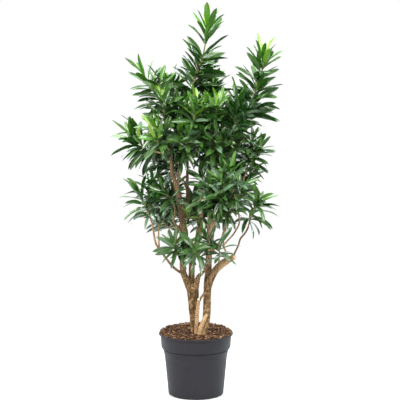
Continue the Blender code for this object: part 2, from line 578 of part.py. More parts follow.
def make_boughs(parts, cutters, lines):
    """The boughs, each cut clear of the limbs that it meets."""
    for name, (_, _, places) in BOUGHS.items():
        lines[name] = smooth_line([(seen(*place[:3]), place[3]) for place in places], BOUGH_SPACING)
        clearance_tube(name, lines[name], BOUGH_SIDES, cutters)
    for name, (meets, finish, _) in BOUGHS.items():
        bough = tube(name, lines[name], BOUGH_SIDES, parts)
        cut_away(bough, [cutters.objects[other + "_clearance"] for other in meets])
        bough.data.shade_smooth()
        paint(bough, finish)


def surface_tree(item):
    """An object's surface, for finding what it touches."""
    corners = [vertex.co for vertex in item.data.vertices]
    return BVHTree.FromPolygons(corners, [tuple(face.vertices) for face in item.data.polygons])


def aside_from(direction, turn):
    """A direction at right angles to another, turned round it."""
    flat = direction.cross(Vector((0, 1, 0.1))).normalized()
    return Quaternion(direction, turn) @ flat


def shoot_lines(name, recipe, lines):
    """The stem of a mass as points with radii, from inside its limb to its tip."""
    start, heading, limb_radius = along(lines[recipe["limb"]], recipe["at"])
    if recipe["at"] == 1.0:
        start = start - heading * SHOOT_ROOT_DEPTH
    radius = min(SHOOT_RADIUS, limb_radius * SHOOT_LIMB_SHARE)
    stem = recipe["stem"]
    places = [(start, radius)]
    for index, place in enumerate(stem):
        share = (index + 1) / len(stem)
        places.append((seen(*place), radius + (SHOOT_TIP_RADIUS - radius) * share))
    return smooth_line(places, SHOOT_SPACING)


def twig_line(stem, seed, index, count):
    """A side twig by rule: where it leaves the stem, its side and its upward bend follow from the seed."""
    place, heading, _ = along(stem, TWIG_FIRST + TWIG_STRETCH * (index + repeatable(seed, index)) / count)
    side = aside_from(heading, GOLDEN_ANGLE * index + math.tau * repeatable(seed, 50 + index))
    out = heading * math.cos(TWIG_ANGLE) + side * math.sin(TWIG_ANGLE)
    half = (TWIG_LENGTH + TWIG_LENGTH_CHANGE * repeatable(seed, 80 + index)) / 2
    middle = place + out * half
    tip = middle + (out + Vector((0, 0, TWIG_RISE))).normalized() * half
    places = [(place, TWIG_RADIUS), (middle, TWIG_RADIUS), (tip, TWIG_RADIUS * TWIG_TIP_SHARE)]
    return smooth_line(places, SHOOT_SPACING)


class Leaf:
    """One leaf as a spindle of eight faces, from its root in the stem to its tip."""

    def __init__(self, root, heading, side, length, hang):
        self.root = root
        self.side = side
        self.length = length
        self.heading = (heading - Vector((0, 0, hang * ROOT_HANG))).normalized()
        self.belly = root + self.heading * length * LEAF_BELLY
        fall = (heading - Vector((0, 0, hang))).normalized()
        self.tip = self.belly + fall * length * (1 - LEAF_BELLY)

    def spindle(self, fatter=0.0, bare=0.0):
        """The leaf as a bmesh: the sphere's poles are root and tip, its equator the edges and the rib.
        The first stretch from its root, of length bare, is left out."""
        shape = bmesh.new()
        bmesh.ops.create_uvsphere(shape, u_segments=4, v_segments=2, radius=1)
        half_width = self.length * LEAF_SLIMNESS / 2 + fatter
        half_thickness = self.length * LEAF_THICKNESS / 2 + fatter
        upper = self.heading.cross(self.side).normalized()
        for corner in shape.verts:
            if corner.co.z > 0.5:
                corner.co = self.tip + (self.tip - self.belly).normalized() * fatter
            elif corner.co.z < -0.5:
                corner.co = self.root + self.heading * bare
            else:
                aside = self.side * corner.co.x * half_width
                corner.co = self.belly + aside + upper * corner.co.y * half_thickness
        return shape


def leaf_on(line, share, age, turn, seed, index, recipe, change):
    """A leaf at a share of the way along a stem; change varies its turn, spread and length."""
    turn_change, spread_change, length_share = change
    place, heading, radius = along(line, share)
    outward = aside_from(heading, turn + turn_change)
    old_spread = recipe.get("spread", OLD_SPREAD)
    spread = YOUNG_SPREAD + (old_spread - YOUNG_SPREAD) * age**SPREAD_POWER
    spread += SPREAD_CHANGE * (repeatable(seed, index) - 0.5) + spread_change
    spread = min(spread, old_spread)
    out = heading * math.cos(spread) + outward * math.sin(spread)
    across = heading.cross(outward).normalized()
    roll = LEAF_ROLL * (LEAF_LEAST_ROLL + (1 - LEAF_LEAST_ROLL) * repeatable(seed, index + 300))
    across = Quaternion(out, roll if index % 2 else -roll) @ across
    base_length = recipe.get("leaf_length", LEAF_LENGTH)
    grown = TIP_LEAF_SHARE + (1 - TIP_LEAF_SHARE) * min(1, age / GROWN_AGE)
    varied = LEAF_LEAST_SHARE + LEAF_LENGTH_CHANGE * repeatable(seed, index + 600)
    root = place - outward * radius * ROOT_DEPTH
    return Leaf(root, out, across, base_length * grown * varied * length_share, recipe["hang"] * age)


# What a leaf tries when its first place is taken: (turn, spread, share of its length).
LEAF_CHANGES = [(0, 0, 1), (0.3, 0, 1), (-0.3, 0, 1), (0, -0.25, 1), (0, 0.25, 1), (0.5, -0.2, 0.9),
                (-0.5, -0.2, 0.9), (0, -0.1, 0.78), (0.4, -0.3, 0.78), (-0.4, 0.2, 0.78)]


def leaf_tree(leaf, bare):
    """A leaf's surface with the clearance round it, for finding what it touches."""
    shape = leaf.spindle(LEAF_CLEARANCE, bare)
    tree = BVHTree.FromBMesh(shape)
    shape.free()
    return tree


def is_free(leaf, own, fixed, placed):
    """Whether a leaf keeps clear of limbs and other masses, and its blade of its own mass's leaves."""
    whole = leaf_tree(leaf, 0)
    if any(name != own and whole.overlap(other) for name, other in fixed):
        return False
    blade = leaf_tree(leaf, FUSED_STRETCH)
    reach = leaf.length * LEAF_REACH
    for name, other, other_whole, other_blade in placed:
        if (other.belly - leaf.belly).length > reach + other.length * LEAF_REACH:
            continue
        if whole.overlap(other_whole) if name != own else blade.overlap(other_blade):
            return False
    placed.append((own, leaf, whole, blade))
    return True


def plan_leaves(shoots, fixed):
    """Every mass's leaves, dealt out in turn, so that neighbours share the space between them."""
    waiting = {}
    for seed, (name, recipe) in enumerate(MASSES.items()):
        stem = shoots[name][0]
        wanted = []
        for first, last, count in recipe["stretches"]:
            for index in range(count):
                wanted.append((stem, first + (last - first) * (index + 0.5) / count))
        for twig in shoots[name][1:]:
            for index in range(recipe["twig_leaves"]):
                outer = (1 - TWIG_BARE_SHARE) * (index + 0.5) / recipe["twig_leaves"]
                wanted.append((twig, TWIG_BARE_SHARE + outer))
        waiting[name] = [(seed, index, line, share) for index, (line, share) in enumerate(wanted)]
    leaves = {name: [] for name in MASSES}
    placed = []
    rounds = max(len(wanted) for wanted in waiting.values())
    for turn in range(rounds):
        for name, wanted in waiting.items():
            if turn >= len(wanted):
                continue
            seed, index, line, share = wanted[-1 - turn]
            angle = GOLDEN_ANGLE * index + math.tau * repeatable(seed, 999)
            for change in LEAF_CHANGES:
                leaf = leaf_on(line, share, 1 - share, angle, seed, index, MASSES[name], change)
                if is_free(leaf, name, fixed, placed):
                    leaves[name].append(leaf)
                    break
    return leaves


def is_sound(mesh):
    """Whether a mesh is one closed body."""
    shape = bmesh.new()
    shape.from_mesh(mesh)
    closed = all(len(edge.link_faces) == 2 for edge in shape.edges)
    reached = {shape.verts[:][0]}
    waiting = list(reached)
    while waiting:
        for edge in waiting.pop().link_edges:
            fresh = [corner for corner in edge.verts if corner not in reached]
            reached.update(fresh)
            waiting.extend(fresh)
    whole = len(reached) == len(shape.verts)
    shape.free()
    return closed and whole


def join_mass(stem, pieces):
    """Join twigs and leaves to a mass's stem in one union, and drop what was joined."""
    joined = bpy.data.collections.new(stem.name + "_pieces")
    for piece in pieces:
        joined.objects.link(piece)
    lone_stem = stem.data
    for solver in ("EXACT", "MANIFOLD"):
        stem.data = lone_stem
        union = stem.modifiers.new("union", "BOOLEAN")
        union.operation = "UNION"
        union.solver = solver
        union.operand_type = "COLLECTION"
        union.collection = joined
        settle(stem)
        if is_sound(stem.data):
            break
    for piece in list(joined.objects):
        bpy.data.objects.remove(piece, do_unlink=True)
    bpy.data.collections.remove(joined)


def make_masses(parts, cutters, lines):
    """The masses of leaves, each one solid on a stem that meets its limb with a hair of clearance."""
    fixed = [(item.name, surface_tree(item)) for item in parts.objects]
    shoots = {}
    stems = {}
    twigs = {}
    for name, recipe in MASSES.items():
        line = shoot_lines(name, recipe, lines)
        stem = tube(name, line, SHOOT_SIDES, parts)
        cut_away(stem, [cutters.objects[recipe["limb"] + "_clearance"]])
        shoots[name] = [line]
        stems[name] = stem
        fixed.append((name, surface_tree(stem)))
    for seed, (name, recipe) in enumerate(MASSES.items()):
        twigs[name] = []
        for index in range(recipe.get("twigs", 0)):
            line = twig_line(shoots[name][0], seed, index, recipe["twigs"])
            twig = tube(f"{name}_twig_{index}", line, TWIG_SIDES, parts)
            tree = surface_tree(twig)
            if any(owner != name and tree.overlap(other) for owner, other in fixed):
                bpy.data.objects.remove(twig, do_unlink=True)
                continue
            shoots[name].append(line)
            twigs[name].append(twig)
            fixed.append((name, tree))
    leaves = plan_leaves(shoots, fixed)
    for name, recipe in MASSES.items():
        pieces = twigs[name]
        for index, leaf in enumerate(leaves[name]):
            mesh = bpy.data.meshes.new(f"{name}_leaf_{index}")
            shape = leaf.spindle()
            shape.to_mesh(mesh)
            shape.free()
            pieces.append(bpy.data.objects.new(mesh.name, mesh))
        for twig in twigs[name]:
            if twig.name in parts.objects:
                parts.objects.unlink(twig)
        join_mass(stems[name], pieces)
        paint(stems[name], recipe["colour"])


def main():
    """Build the whole plant."""
    clear_scene()
    parts = new_collection(OBJECT_NAME)
    cutters = new_collection("cutters")
    lines = {}
    make_pot(parts, cutters)
    make_soil(parts)
    make_trunks(parts, cutters, lines)
    make_boughs(parts, cutters, lines)
    make_masses(parts, cutters, lines)


main()
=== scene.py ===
# Potted dracaena with plain green leaves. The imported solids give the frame; this script dresses them:
# bark-skinned limbs, leafy shoots, a moulded nursery pot and a soil of bark chips. Metres, +Z up.
import math

import bmesh
import bpy
import numpy as np
from mathutils import Matrix, Quaternion, Vector, noise
from mathutils.kdtree import KDTree


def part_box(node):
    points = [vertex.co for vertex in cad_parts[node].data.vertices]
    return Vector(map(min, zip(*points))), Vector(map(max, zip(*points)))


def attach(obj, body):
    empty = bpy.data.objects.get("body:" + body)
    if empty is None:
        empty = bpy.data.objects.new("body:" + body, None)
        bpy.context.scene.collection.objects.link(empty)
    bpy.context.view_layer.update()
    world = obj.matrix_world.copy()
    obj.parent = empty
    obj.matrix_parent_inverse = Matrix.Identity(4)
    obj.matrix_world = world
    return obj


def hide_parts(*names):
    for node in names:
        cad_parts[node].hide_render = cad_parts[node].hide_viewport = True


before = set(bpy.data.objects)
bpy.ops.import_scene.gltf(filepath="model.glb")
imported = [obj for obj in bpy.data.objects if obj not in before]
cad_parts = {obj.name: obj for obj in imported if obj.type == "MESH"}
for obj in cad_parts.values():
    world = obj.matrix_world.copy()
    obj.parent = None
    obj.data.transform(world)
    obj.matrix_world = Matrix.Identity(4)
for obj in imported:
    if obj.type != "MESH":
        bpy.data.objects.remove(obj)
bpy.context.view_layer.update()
print("frame loaded")

scene = bpy.context.scene
goldenAngle = math.radians(137.5)


view = dict(
    eye=(0.0164, -5.5, 1.5),    # where the camera stands
    lookDown=7.41,              # degrees below level
    lens=126,                   # on a 36 mm sensor
)


def makeCamera():
    data = bpy.data.cameras.new("camera")
    data.lens = view["lens"]
    data.sensor_width = 36
    camera = bpy.data.objects.new("camera", data)
    camera.location = view["eye"]
    camera.rotation_euler = (math.radians(90 - view["lookDown"]), 0, 0)
    scene.collection.objects.link(camera)
    scene.camera = camera


studio = dict(
    floorRadius=1.15,
    floorColour=(0.64, 0.64, 0.64),
    skyColour=(1.0, 1.0, 1.0),
    skyGlow=0.12,               # light that the surroundings give
    skyMirrored=0.30,           # how bright gloss mirrors them
    skySeen=1.0,                # how bright they look behind the plant
    lamps=[     # name, where it shines from, softness in degrees, strength, colour, whether gloss mirrors it
        ("keyLamp", (-0.75, -0.85, 0.85), 36, 4.0, (1.0, 0.98, 0.94), True),
        ("topLamp", (0.05, 0.12, 1.0), 50, 3.9, (0.95, 1.0, 0.97), True),
        ("sideLamp", (0.95, -0.65, 0.70), 36, 2.6, (0.98, 1.0, 0.97), True),
        ("backLamp", (0.0, 1.0, 0.42), 42, 2.6, (0.86, 0.98, 1.0), True),
        ("leftRimLamp", (-0.95, 0.9, 0.50), 30, 2.2, (0.86, 0.98, 1.0), True),
        ("rightRimLamp", (0.95, 0.9, 0.50), 30, 2.2, (0.86, 0.98, 1.0), True),
    ],
)


def makeStudio():
    world = bpy.data.worlds.new("studioSky")
    scene.world = world
    world.use_nodes = True
    tree = world.node_tree
    tree.nodes.clear()
    skies = [addNode(tree, "ShaderNodeBackground", {"Color": (*studio["skyColour"], 1), "Strength": studio[key]})
             for key in ("skyGlow", "skyMirrored", "skySeen")]
    path = addNode(tree, "ShaderNodeLightPath").outputs
    unseen = addNode(tree, "ShaderNodeMixShader", {0: path["Is Glossy Ray"], 1: skies[0].outputs[0],
                                                   2: skies[1].outputs[0]})
    sky = addNode(tree, "ShaderNodeMixShader", {0: path["Is Camera Ray"], 1: unseen.outputs[0],
                                                2: skies[2].outputs[0]})
    addNode(tree, "ShaderNodeOutputWorld", {"Surface": sky.outputs[0]})
    for name, place, softness, strength, colour, mirrored in studio["lamps"]:
        data = bpy.data.lights.new(name, "SUN")
        data.angle = math.radians(softness)
        data.energy = strength
        data.color = colour
        lamp = bpy.data.objects.new(name, data)
        lamp.visible_glossy = mirrored
        lamp.location = Vector(place) * 4
        lamp.rotation_euler = (-Vector(place)).to_track_quat("-Z", "Y").to_euler()
        scene.collection.objects.link(lamp)
    shape = bmesh.new()
    bmesh.ops.create_circle(shape, cap_ends=True, segments=96, radius=studio["floorRadius"])
    floor = addPiece("studioFloor", shape)
    material, tree, shader = newMaterial("paleFloor", roughness=0.9)
    shader.inputs["Base Color"].default_value = (*studio["floorColour"], 1)
    floor.data.materials.append(material)
    scene.view_settings.view_transform = "Standard"
    scene.view_settings.look = "None"


def repeatable(seed, index):
    value = math.sin(seed * 12.9898 + index * 78.233) * 43758.5453
    return value - math.floor(value)


def addPiece(name, shape):
    # a bmesh or a mesh as an object in the scene
    if isinstance(shape, bmesh.types.BMesh):
        mesh = bpy.data.meshes.new(name)
        shape.to_mesh(mesh)
        shape.free()
    else:
        mesh = shape
        mesh.name = name
    item = bpy.data.objects.new(name, mesh)
    scene.collection.objects.link(item)
    return item


def settle(item):
    # keep the modifiers' result as the mesh
    evaluated = item.evaluated_get(bpy.context.evaluated_depsgraph_get())
    mesh = bpy.data.meshes.new_from_object(evaluated)
    item.modifiers.clear()
    item.data = mesh


def meshFromArrays(name, points, faces, layers=None):
    # faces is a list of equal-sided index arrays; layers are point values by name
    mesh = bpy.data.meshes.new(name)
    mesh.vertices.add(len(points))
    mesh.vertices.foreach_set("co", np.ascontiguousarray(points, dtype=np.float32).ravel())
    corners = np.concatenate([block.ravel() for block in faces]).astype(np.int32)
    sizes = np.concatenate([np.full(len(block), block.shape[1]) for block in faces])
    starts = np.concatenate([[0], np.cumsum(sizes)[:-1]]).astype(np.int32)
    mesh.loops.add(len(corners))
    mesh.loops.foreach_set("vertex_index", corners)
    mesh.polygons.add(len(sizes))
    mesh.polygons.foreach_set("loop_start", starts)
    mesh.update(calc_edges=True)
    for layer, values in (layers or {}).items():
        mesh.attributes.new(layer, "FLOAT", "POINT").data.foreach_set("value", values.astype(np.float32).ravel())
    mesh.shade_smooth()
    return mesh


def addNode(tree, kind, values=None, **settings):
    node = tree.nodes.new(kind)
    for key, value in settings.items():
        setattr(node, key, value)
    for key, value in (values or {}).items():
        if isinstance(value, bpy.types.NodeSocket):
            tree.links.new(value, node.inputs[key])
        else:
            node.inputs[key].default_value = value
    return node


def newMaterial(name, roughness=0.5):
    material = bpy.data.materials.new(name)
    material.use_nodes = True
    tree = material.node_tree
    shader = tree.nodes["Principled BSDF"]
    shader.inputs["Roughness"].default_value = roughness
    return material, tree, shader


def mixColour(tree, factor, first, second, blend="MIX"):
    mix = addNode(tree, "ShaderNodeMix", data_type="RGBA", blend_type=blend)
    for key, value in ((0, factor), (6, first), (7, second)):
        if isinstance(value, bpy.types.NodeSocket):
            tree.links.new(value, mix.inputs[key])
        elif key == 0:
            mix.inputs[key].default_value = value
        else:
            mix.inputs[key].default_value = (*value[:3], 1)
    return mix.outputs[2]


def newGroup(name, inputs, outputs):
    group = bpy.data.node_groups.new(name, "ShaderNodeTree")
    for socketName, kind, value in inputs:
        socket = group.interface.new_socket(socketName, in_out="INPUT", socket_type=kind)
        socket.default_value = value
    for socketName, kind in outputs:
        group.interface.new_socket(socketName, in_out="OUTPUT", socket_type=kind)
    return group, addNode(group, "NodeGroupInput").outputs, addNode(group, "NodeGroupOutput").inputs


def useGroup(tree, group, values):
    node = addNode(tree, "ShaderNodeGroup", node_tree=group)
    for key, value in values.items():
        if isinstance(value, bpy.types.NodeSocket):
            tree.links.new(value, node.inputs[key])
        else:
            node.inputs[key].default_value = value
    return node.outputs


def mapRange(tree, value, low, high, toLow=0.0, toHigh=1.0):
    node = addNode(tree, "ShaderNodeMapRange", {"Value": value, "From Min": low, "From Max": high,
                                                "To Min": toLow, "To Max": toHigh})
    return node.outputs["Result"]


def makeUnevenTone():
    # two colours dealt over a surface in soft patches with finer mottling
    group, given, out = newGroup("unevenTone", [
        ("Colour", "NodeSocketColor", (0.5, 0.5, 0.5, 1)), ("Other Colour", "NodeSocketColor", (0.3, 0.3, 0.3, 1)),
        ("Patch Size", "NodeSocketFloat", 8.0), ("Mottle Size", "NodeSocketFloat", 60.0),
        ("Strength", "NodeSocketFloat", 0.6), ("Stretch", "NodeSocketVector", (1, 1, 1))],
        [("Colour", "NodeSocketColor"), ("Mask", "NodeSocketFloat")])
    place = addNode(group, "ShaderNodeTexCoord").outputs["Object"]
    drawn = addNode(group, "ShaderNodeVectorMath", {0: place, 1: given["Stretch"]}, operation="MULTIPLY").outputs[0]
    patches = addNode(group, "ShaderNodeTexNoise", {"Vector": drawn, "Scale": given["Patch Size"], "Detail": 3.0})
    mottle = addNode(group, "ShaderNodeTexNoise", {"Vector": drawn, "Scale": given["Mottle Size"], "Detail": 4.0})
    both = addNode(group, "ShaderNodeMath", {0: patches.outputs["Fac"], 1: mottle.outputs["Fac"]}, operation="ADD")
    spread = mapRange(group, both.outputs[0], 0.7, 1.3)
    mask = addNode(group, "ShaderNodeMath", {0: spread, 1: given["Strength"]}, operation="MULTIPLY", use_clamp=True)
    colour = mixColour(group, mask.outputs[0], given["Colour"], given["Other Colour"])
    group.links.new(colour, out["Colour"])
    group.links.new(mask.outputs[0], out["Mask"])
    return group


def makeSpeckle():
    # small specks, such as grit on plastic or pores in bark
    group, given, out = newGroup("speckle", [("Size", "NodeSocketFloat", 300.0), ("Share", "NodeSocketFloat", 0.2)],
                                 [("Mask", "NodeSocketFloat")])
    place = addNode(group, "ShaderNodeTexCoord").outputs["Object"]
    grain = addNode(group, "ShaderNodeTexNoise", {"Vector": place, "Scale": given["Size"], "Detail": 2.0})
    edge = addNode(group, "ShaderNodeMath", {0: 0.72, 1: given["Share"]}, operation="SUBTRACT")
    over = addNode(group, "ShaderNodeMath", {0: grain.outputs["Fac"], 1: edge.outputs[0]}, operation="SUBTRACT")
    mask = addNode(group, "ShaderNodeMath", {0: over.outputs[0], 1: 9.0}, operation="MULTIPLY", use_clamp=True)
    group.links.new(mask.outputs[0], out["Mask"])
    return group


unevenTone = makeUnevenTone()
speckle = makeSpeckle()


def addBump(tree, shader, height, strength, distance):
    bump = addNode(tree, "ShaderNodeBump", {"Strength": strength, "Distance": distance, "Height": height})
    tree.links.new(bump.outputs["Normal"], shader.inputs["Normal"])


makeCamera()
makeStudio()
print("camera, lamps and floor ready")


# The same rule as the solids': places are read as seen from the front, then carried back along the sight line.
reading = dict(aside=0.016, distance=5.5, height=1.5)


def seen(across, up, behind):
    stretch = 1 + behind / reading["distance"]
    sideways = reading["aside"] + (across - reading["aside"]) * stretch
    return Vector((sideways, behind, reading["height"] + (up - reading["height"]) * stretch))


def smoothLine(places, spacing):
    # points with radii on a smooth line through (place, radius) pairs
    lengths = [(after[0] - before[0]).length for before, after in zip(places, places[1:])]
    knots = [sum(lengths[:index]) for index in range(len(places))]

    def slope(index):
        first = max(index - 1, 0)
        last = min(index + 1, len(places) - 1)
        return (places[last][0] - places[first][0]) / (knots[last] - knots[first])

    points = []
    for index, length in enumerate(lengths):
        start, startRadius = places[index]
        end, endRadius = places[index + 1]
        steps = max(1, round(length / spacing))
        for step in range(steps):
            t = step / steps
            bend = slope(index) * length * (t**3 - 2 * t**2 + t) + slope(index + 1) * length * (t**3 - t**2)
            place = start * (2 * t**3 - 3 * t**2 + 1) + end * (3 * t**2 - 2 * t**3) + bend
            points.append((place, startRadius + (endRadius - startRadius) * t))
    points.append(places[-1])
    return points


def along(points, share):
    # place, direction and radius at a share of the way along a line
    lengths = [(after[0] - before[0]).length for before, after in zip(points, points[1:])]
    left = min(share, 0.9999) * sum(lengths)
    for (start, startRadius), (end, endRadius), length in zip(points, points[1:], lengths):
        if left <= length:
            break
        left -= length
    part = min(left / length, 1)
    return start.lerp(end, part), (end - start).normalized(), startRadius + (endRadius - startRadius) * part


def asideFrom(direction, turn):
    flat = direction.cross(Vector((0, 1, 0.1))).normalized()
    return Quaternion(direction, turn) @ flat


# Limbs: places up each limb as (across, up, behind, radius).
trunks = {
    "trunk_left": [(-0.003, 0.235, 0.015, 0.0165), (-0.007, 0.310, 0.015, 0.0182),
                   (-0.010, 0.380, 0.012, 0.0222), (-0.013, 0.425, 0.010, 0.0246),
                   (-0.015, 0.445, 0.010, 0.0240)],
    "trunk_right": [(0.026, 0.235, -0.030, 0.0140), (0.036, 0.275, -0.026, 0.0155),
                    (0.043, 0.320, -0.020, 0.0155), (0.046, 0.420, -0.010, 0.0155),
                    (0.051, 0.470, -0.006, 0.0185)],
    "stem_front": [(0.001, 0.235, -0.030, 0.0083), (0.004, 0.308, -0.034, 0.0075),
                   (0.009, 0.360, -0.040, 0.0068), (0.012, 0.384, -0.042, 0.0064)],
}

# Boughs also name the limbs they meet and their bark.
boughs = {
    "bough_left": (["trunk_left"], "brown", [
        (-0.026, 0.432, 0.010, 0.0150), (-0.040, 0.468, 0.008, 0.0138), (-0.050, 0.493, 0.004, 0.0125),
        (-0.052, 0.536, 0.000, 0.0125), (-0.045, 0.580, 0.000, 0.0125), (-0.045, 0.640, -0.005, 0.0135),
        (-0.053, 0.705, -0.010, 0.0135), (-0.069, 0.805, -0.015, 0.0125), (-0.077, 0.850, -0.015, 0.0115)]),
    "bough_left_outer": (["bough_left"], "pale", [
        (-0.078, 0.842, -0.015, 0.0080), (-0.093, 0.890, -0.020, 0.0078), (-0.098, 0.960, -0.025, 0.0070),
        (-0.108, 1.030, -0.030, 0.0062), (-0.124, 1.110, -0.035, 0.0055)]),
    "bough_left_inner": (["bough_left", "bough_left_outer"], "pale", [
        (-0.075, 0.842, -0.012, 0.0070), (-0.066, 0.890, 0.000, 0.0068), (-0.062, 0.980, 0.020, 0.0060),
        (-0.066, 1.050, 0.030, 0.0052)]),
    "bough_left_young": (["bough_left"], "pale", [
        (-0.048, 0.650, -0.008, 0.0050), (-0.072, 0.675, -0.030, 0.0048), (-0.088, 0.705, -0.045, 0.0046),
        (-0.083, 0.730, -0.052, 0.0044), (-0.083, 0.755, -0.056, 0.0040)]),
    "bough_crossing": (["bough_left"], "reddish", [
        (-0.052, 0.545, 0.004, 0.0085), (-0.074, 0.592, 0.035, 0.0080), (-0.081, 0.640, 0.050, 0.0078),
        (-0.060, 0.685, 0.060, 0.0074), (-0.036, 0.745, 0.065, 0.0072), (-0.034, 0.870, 0.075, 0.0062),
        (-0.033, 0.940, 0.085, 0.0055)]),
    "bough_left_thin": (["bough_left"], "brown", [
        (-0.046, 0.484, 0.006, 0.0055), (-0.090, 0.515, -0.020, 0.0052), (-0.141, 0.581, -0.035, 0.0046),
        (-0.160, 0.612, -0.038, 0.0044), (-0.171, 0.680, -0.038, 0.0040)]),
    "bough_middle": (["trunk_left", "bough_left"], "brown", [
        (-0.014, 0.434, 0.014, 0.0130), (-0.017, 0.483, 0.022, 0.0124), (-0.012, 0.564, 0.030, 0.0122),
        (0.004, 0.612, 0.034, 0.0120), (0.013, 0.670, 0.036, 0.0115), (0.021, 0.785, 0.036, 0.0090),
        (0.022, 0.865, 0.036, 0.0080), (0.021, 0.950, 0.036, 0.0085)]),
    "bough_middle_left": (["bough_middle"], "pale", [
        (0.020, 0.942, 0.036, 0.0062), (0.009, 0.975, 0.034, 0.0060), (-0.003, 1.043, 0.032, 0.0056),
        (-0.011, 1.120, 0.030, 0.0052), (-0.013, 1.170, 0.030, 0.0048)]),
    "bough_middle_right": (["bough_middle", "bough_middle_left"], "pale", [
        (0.022, 0.942, 0.036, 0.0058), (0.044, 0.974, 0.030, 0.0056), (0.062, 1.010, 0.020, 0.0052),
        (0.074, 1.050, 0.010, 0.0048)]),
    "bough_middle_thin": (["trunk_left", "bough_left", "bough_middle"], "brown", [
        (0.000, 0.432, 0.002, 0.0125), (0.005, 0.460, -0.008, 0.0112), (0.012, 0.479, -0.020, 0.0084),
        (0.026, 0.491, -0.040, 0.0058), (0.040, 0.515, -0.060, 0.0050), (0.048, 0.665, -0.085, 0.0046),
        (0.050, 0.760, -0.105, 0.0044)]),
    "bough_right": (["trunk_right"], "brown", [
        (0.047, 0.458, -0.005, 0.0145), (0.050, 0.500, 0.002, 0.0140), (0.051, 0.548, 0.008, 0.0130),
        (0.063, 0.656, 0.014, 0.0110), (0.076, 0.785, 0.010, 0.0090), (0.091, 0.884, 0.005, 0.0080),
        (0.119, 0.955, 0.000, 0.0072), (0.158, 0.997, -0.005, 0.0066), (0.190, 1.036, -0.008, 0.0060),
        (0.203, 1.090, -0.010, 0.0056)]),
    "bough_right_low": (["bough_right", "bough_right_stub"], "brown", [
        (0.050, 0.488, 0.000, 0.0055), (0.034, 0.508, -0.032, 0.0052), (0.020, 0.530, -0.070, 0.0048),
        (0.008, 0.554, -0.104, 0.0044)]),
    "bough_right_stub": (["trunk_right", "bough_right"], "pale", [
        (0.056, 0.456, -0.008, 0.0132), (0.074, 0.495, -0.014, 0.0142), (0.095, 0.520, -0.020, 0.0152),
        (0.119, 0.538, -0.024, 0.0144), (0.149, 0.555, -0.030, 0.0106)]),
    "bough_stub_inner": (["bough_right_stub"], "pale", [
        (0.134, 0.546, -0.027, 0.0040), (0.116, 0.585, -0.034, 0.0038), (0.108, 0.604, -0.036, 0.0056)]),
    "bough_stub_inner_left": (["bough_stub_inner"], "pale", [
        (0.109, 0.599, -0.036, 0.0032), (0.113, 0.644, -0.045, 0.0034), (0.127, 0.690, -0.062, 0.0034),
        (0.132, 0.717, -0.075, 0.0034)]),
    "bough_stub_inner_right": (["bough_stub_inner", "bough_stub_inner_left"], "pale", [
        (0.108, 0.599, -0.036, 0.0032), (0.122, 0.617, -0.032, 0.0036), (0.151, 0.650, -0.040, 0.0036),
        (0.173, 0.697, -0.055, 0.0036), (0.157, 0.780, -0.095, 0.0036)]),
    "bough_stub_outer": (["bough_right_stub"], "reddish", [
        (0.145, 0.552, -0.029, 0.0042), (0.169, 0.603, -0.032, 0.0038), (0.177, 0.629, -0.034, 0.0040),
        (0.197, 0.654, -0.036, 0.0038), (0.209, 0.678, -0.036, 0.0038)]),
    "bough_right_outer": (["bough_right"], "brown", [
        (0.054, 0.570, 0.009, 0.0065), (0.082, 0.600, 0.030, 0.0060), (0.100, 0.622, 0.038, 0.0058),
        (0.115, 0.669, 0.042, 0.0054), (0.133, 0.721, 0.042, 0.0050), (0.167, 0.805, 0.036, 0.0046),
        (0.197, 0.895, 0.030, 0.0042)]),
    "bough_front": (["stem_front"], "pale", [
        (0.012, 0.376, -0.042, 0.0048), (0.028, 0.402, -0.050, 0.0046), (0.044, 0.416, -0.052, 0.0044),
        (0.058, 0.431, -0.050, 0.0042), (0.068, 0.462, -0.055, 0.0040), (0.084, 0.495, -0.070, 0.0038),
        (0.093, 0.548, -0.085, 0.0036)]),
}

limbLook = dict(
    spacing=0.004,              # between the rings of a limb's first skin
    sides=16,
    voxel=0.0015,               # of the skin that joins a limb to its boughs
    smoothing=6,
    footDepth=0.006,            # how far a bough's foot runs back into its limb
    footFlare=1.35,             # how much thicker a bough's foot is than the bough
    footLength=0.018,
    ringSpacing=(0.0055, 0.012),    # between leaf scars on a thin bough and on a thick stem
    ringDepth=0.055,            # share of the radius
    ringDepthMost=0.0007,
    scarSize=(0.0105, 0.0085),  # diamond leaf scars of the middling boughs, across and up
    scarRise=0.0006,
    ridges=0.0009,              # lengthwise ridges of the thick stems
    cracks=0.0009,
    lumps=0.0012,
)


def limbTube(shape, points, sides, blunt=True):
    # adds a closed tube with rounded ends to a bmesh
    rings = []
    flat = None
    for index, (place, radius) in enumerate(points):
        before = points[max(index - 1, 0)][0]
        after = points[min(index + 1, len(points) - 1)][0]
        heading = (after - before).normalized()
        if flat is None:
            flat = heading.orthogonal().normalized()
        flat = (flat - heading * flat.dot(heading)).normalized()
        other = heading.cross(flat)
        corners = []
        for side in range(sides):
            angle = math.tau * side / sides
            corners.append(shape.verts.new(place + (flat * math.cos(angle) + other * math.sin(angle)) * radius))
        rings.append(corners)
    for lower, upper in zip(rings, rings[1:]):
        for side in range(sides):
            shape.faces.new((lower[side], lower[side - 1], upper[side - 1], upper[side]))
    for corners, (end, radius), (near, _) in ((rings[0], points[0], points[1]), (rings[-1], points[-1], points[-2])):
        swell = (end - near).normalized() * radius * (0.25 if blunt else 0.9)
        tip = shape.verts.new(end + swell)
        for side in range(sides):
            pair = (corners[side - 1], corners[side], tip)
            shape.faces.new(pair if corners is rings[-1] else pair[::-1])


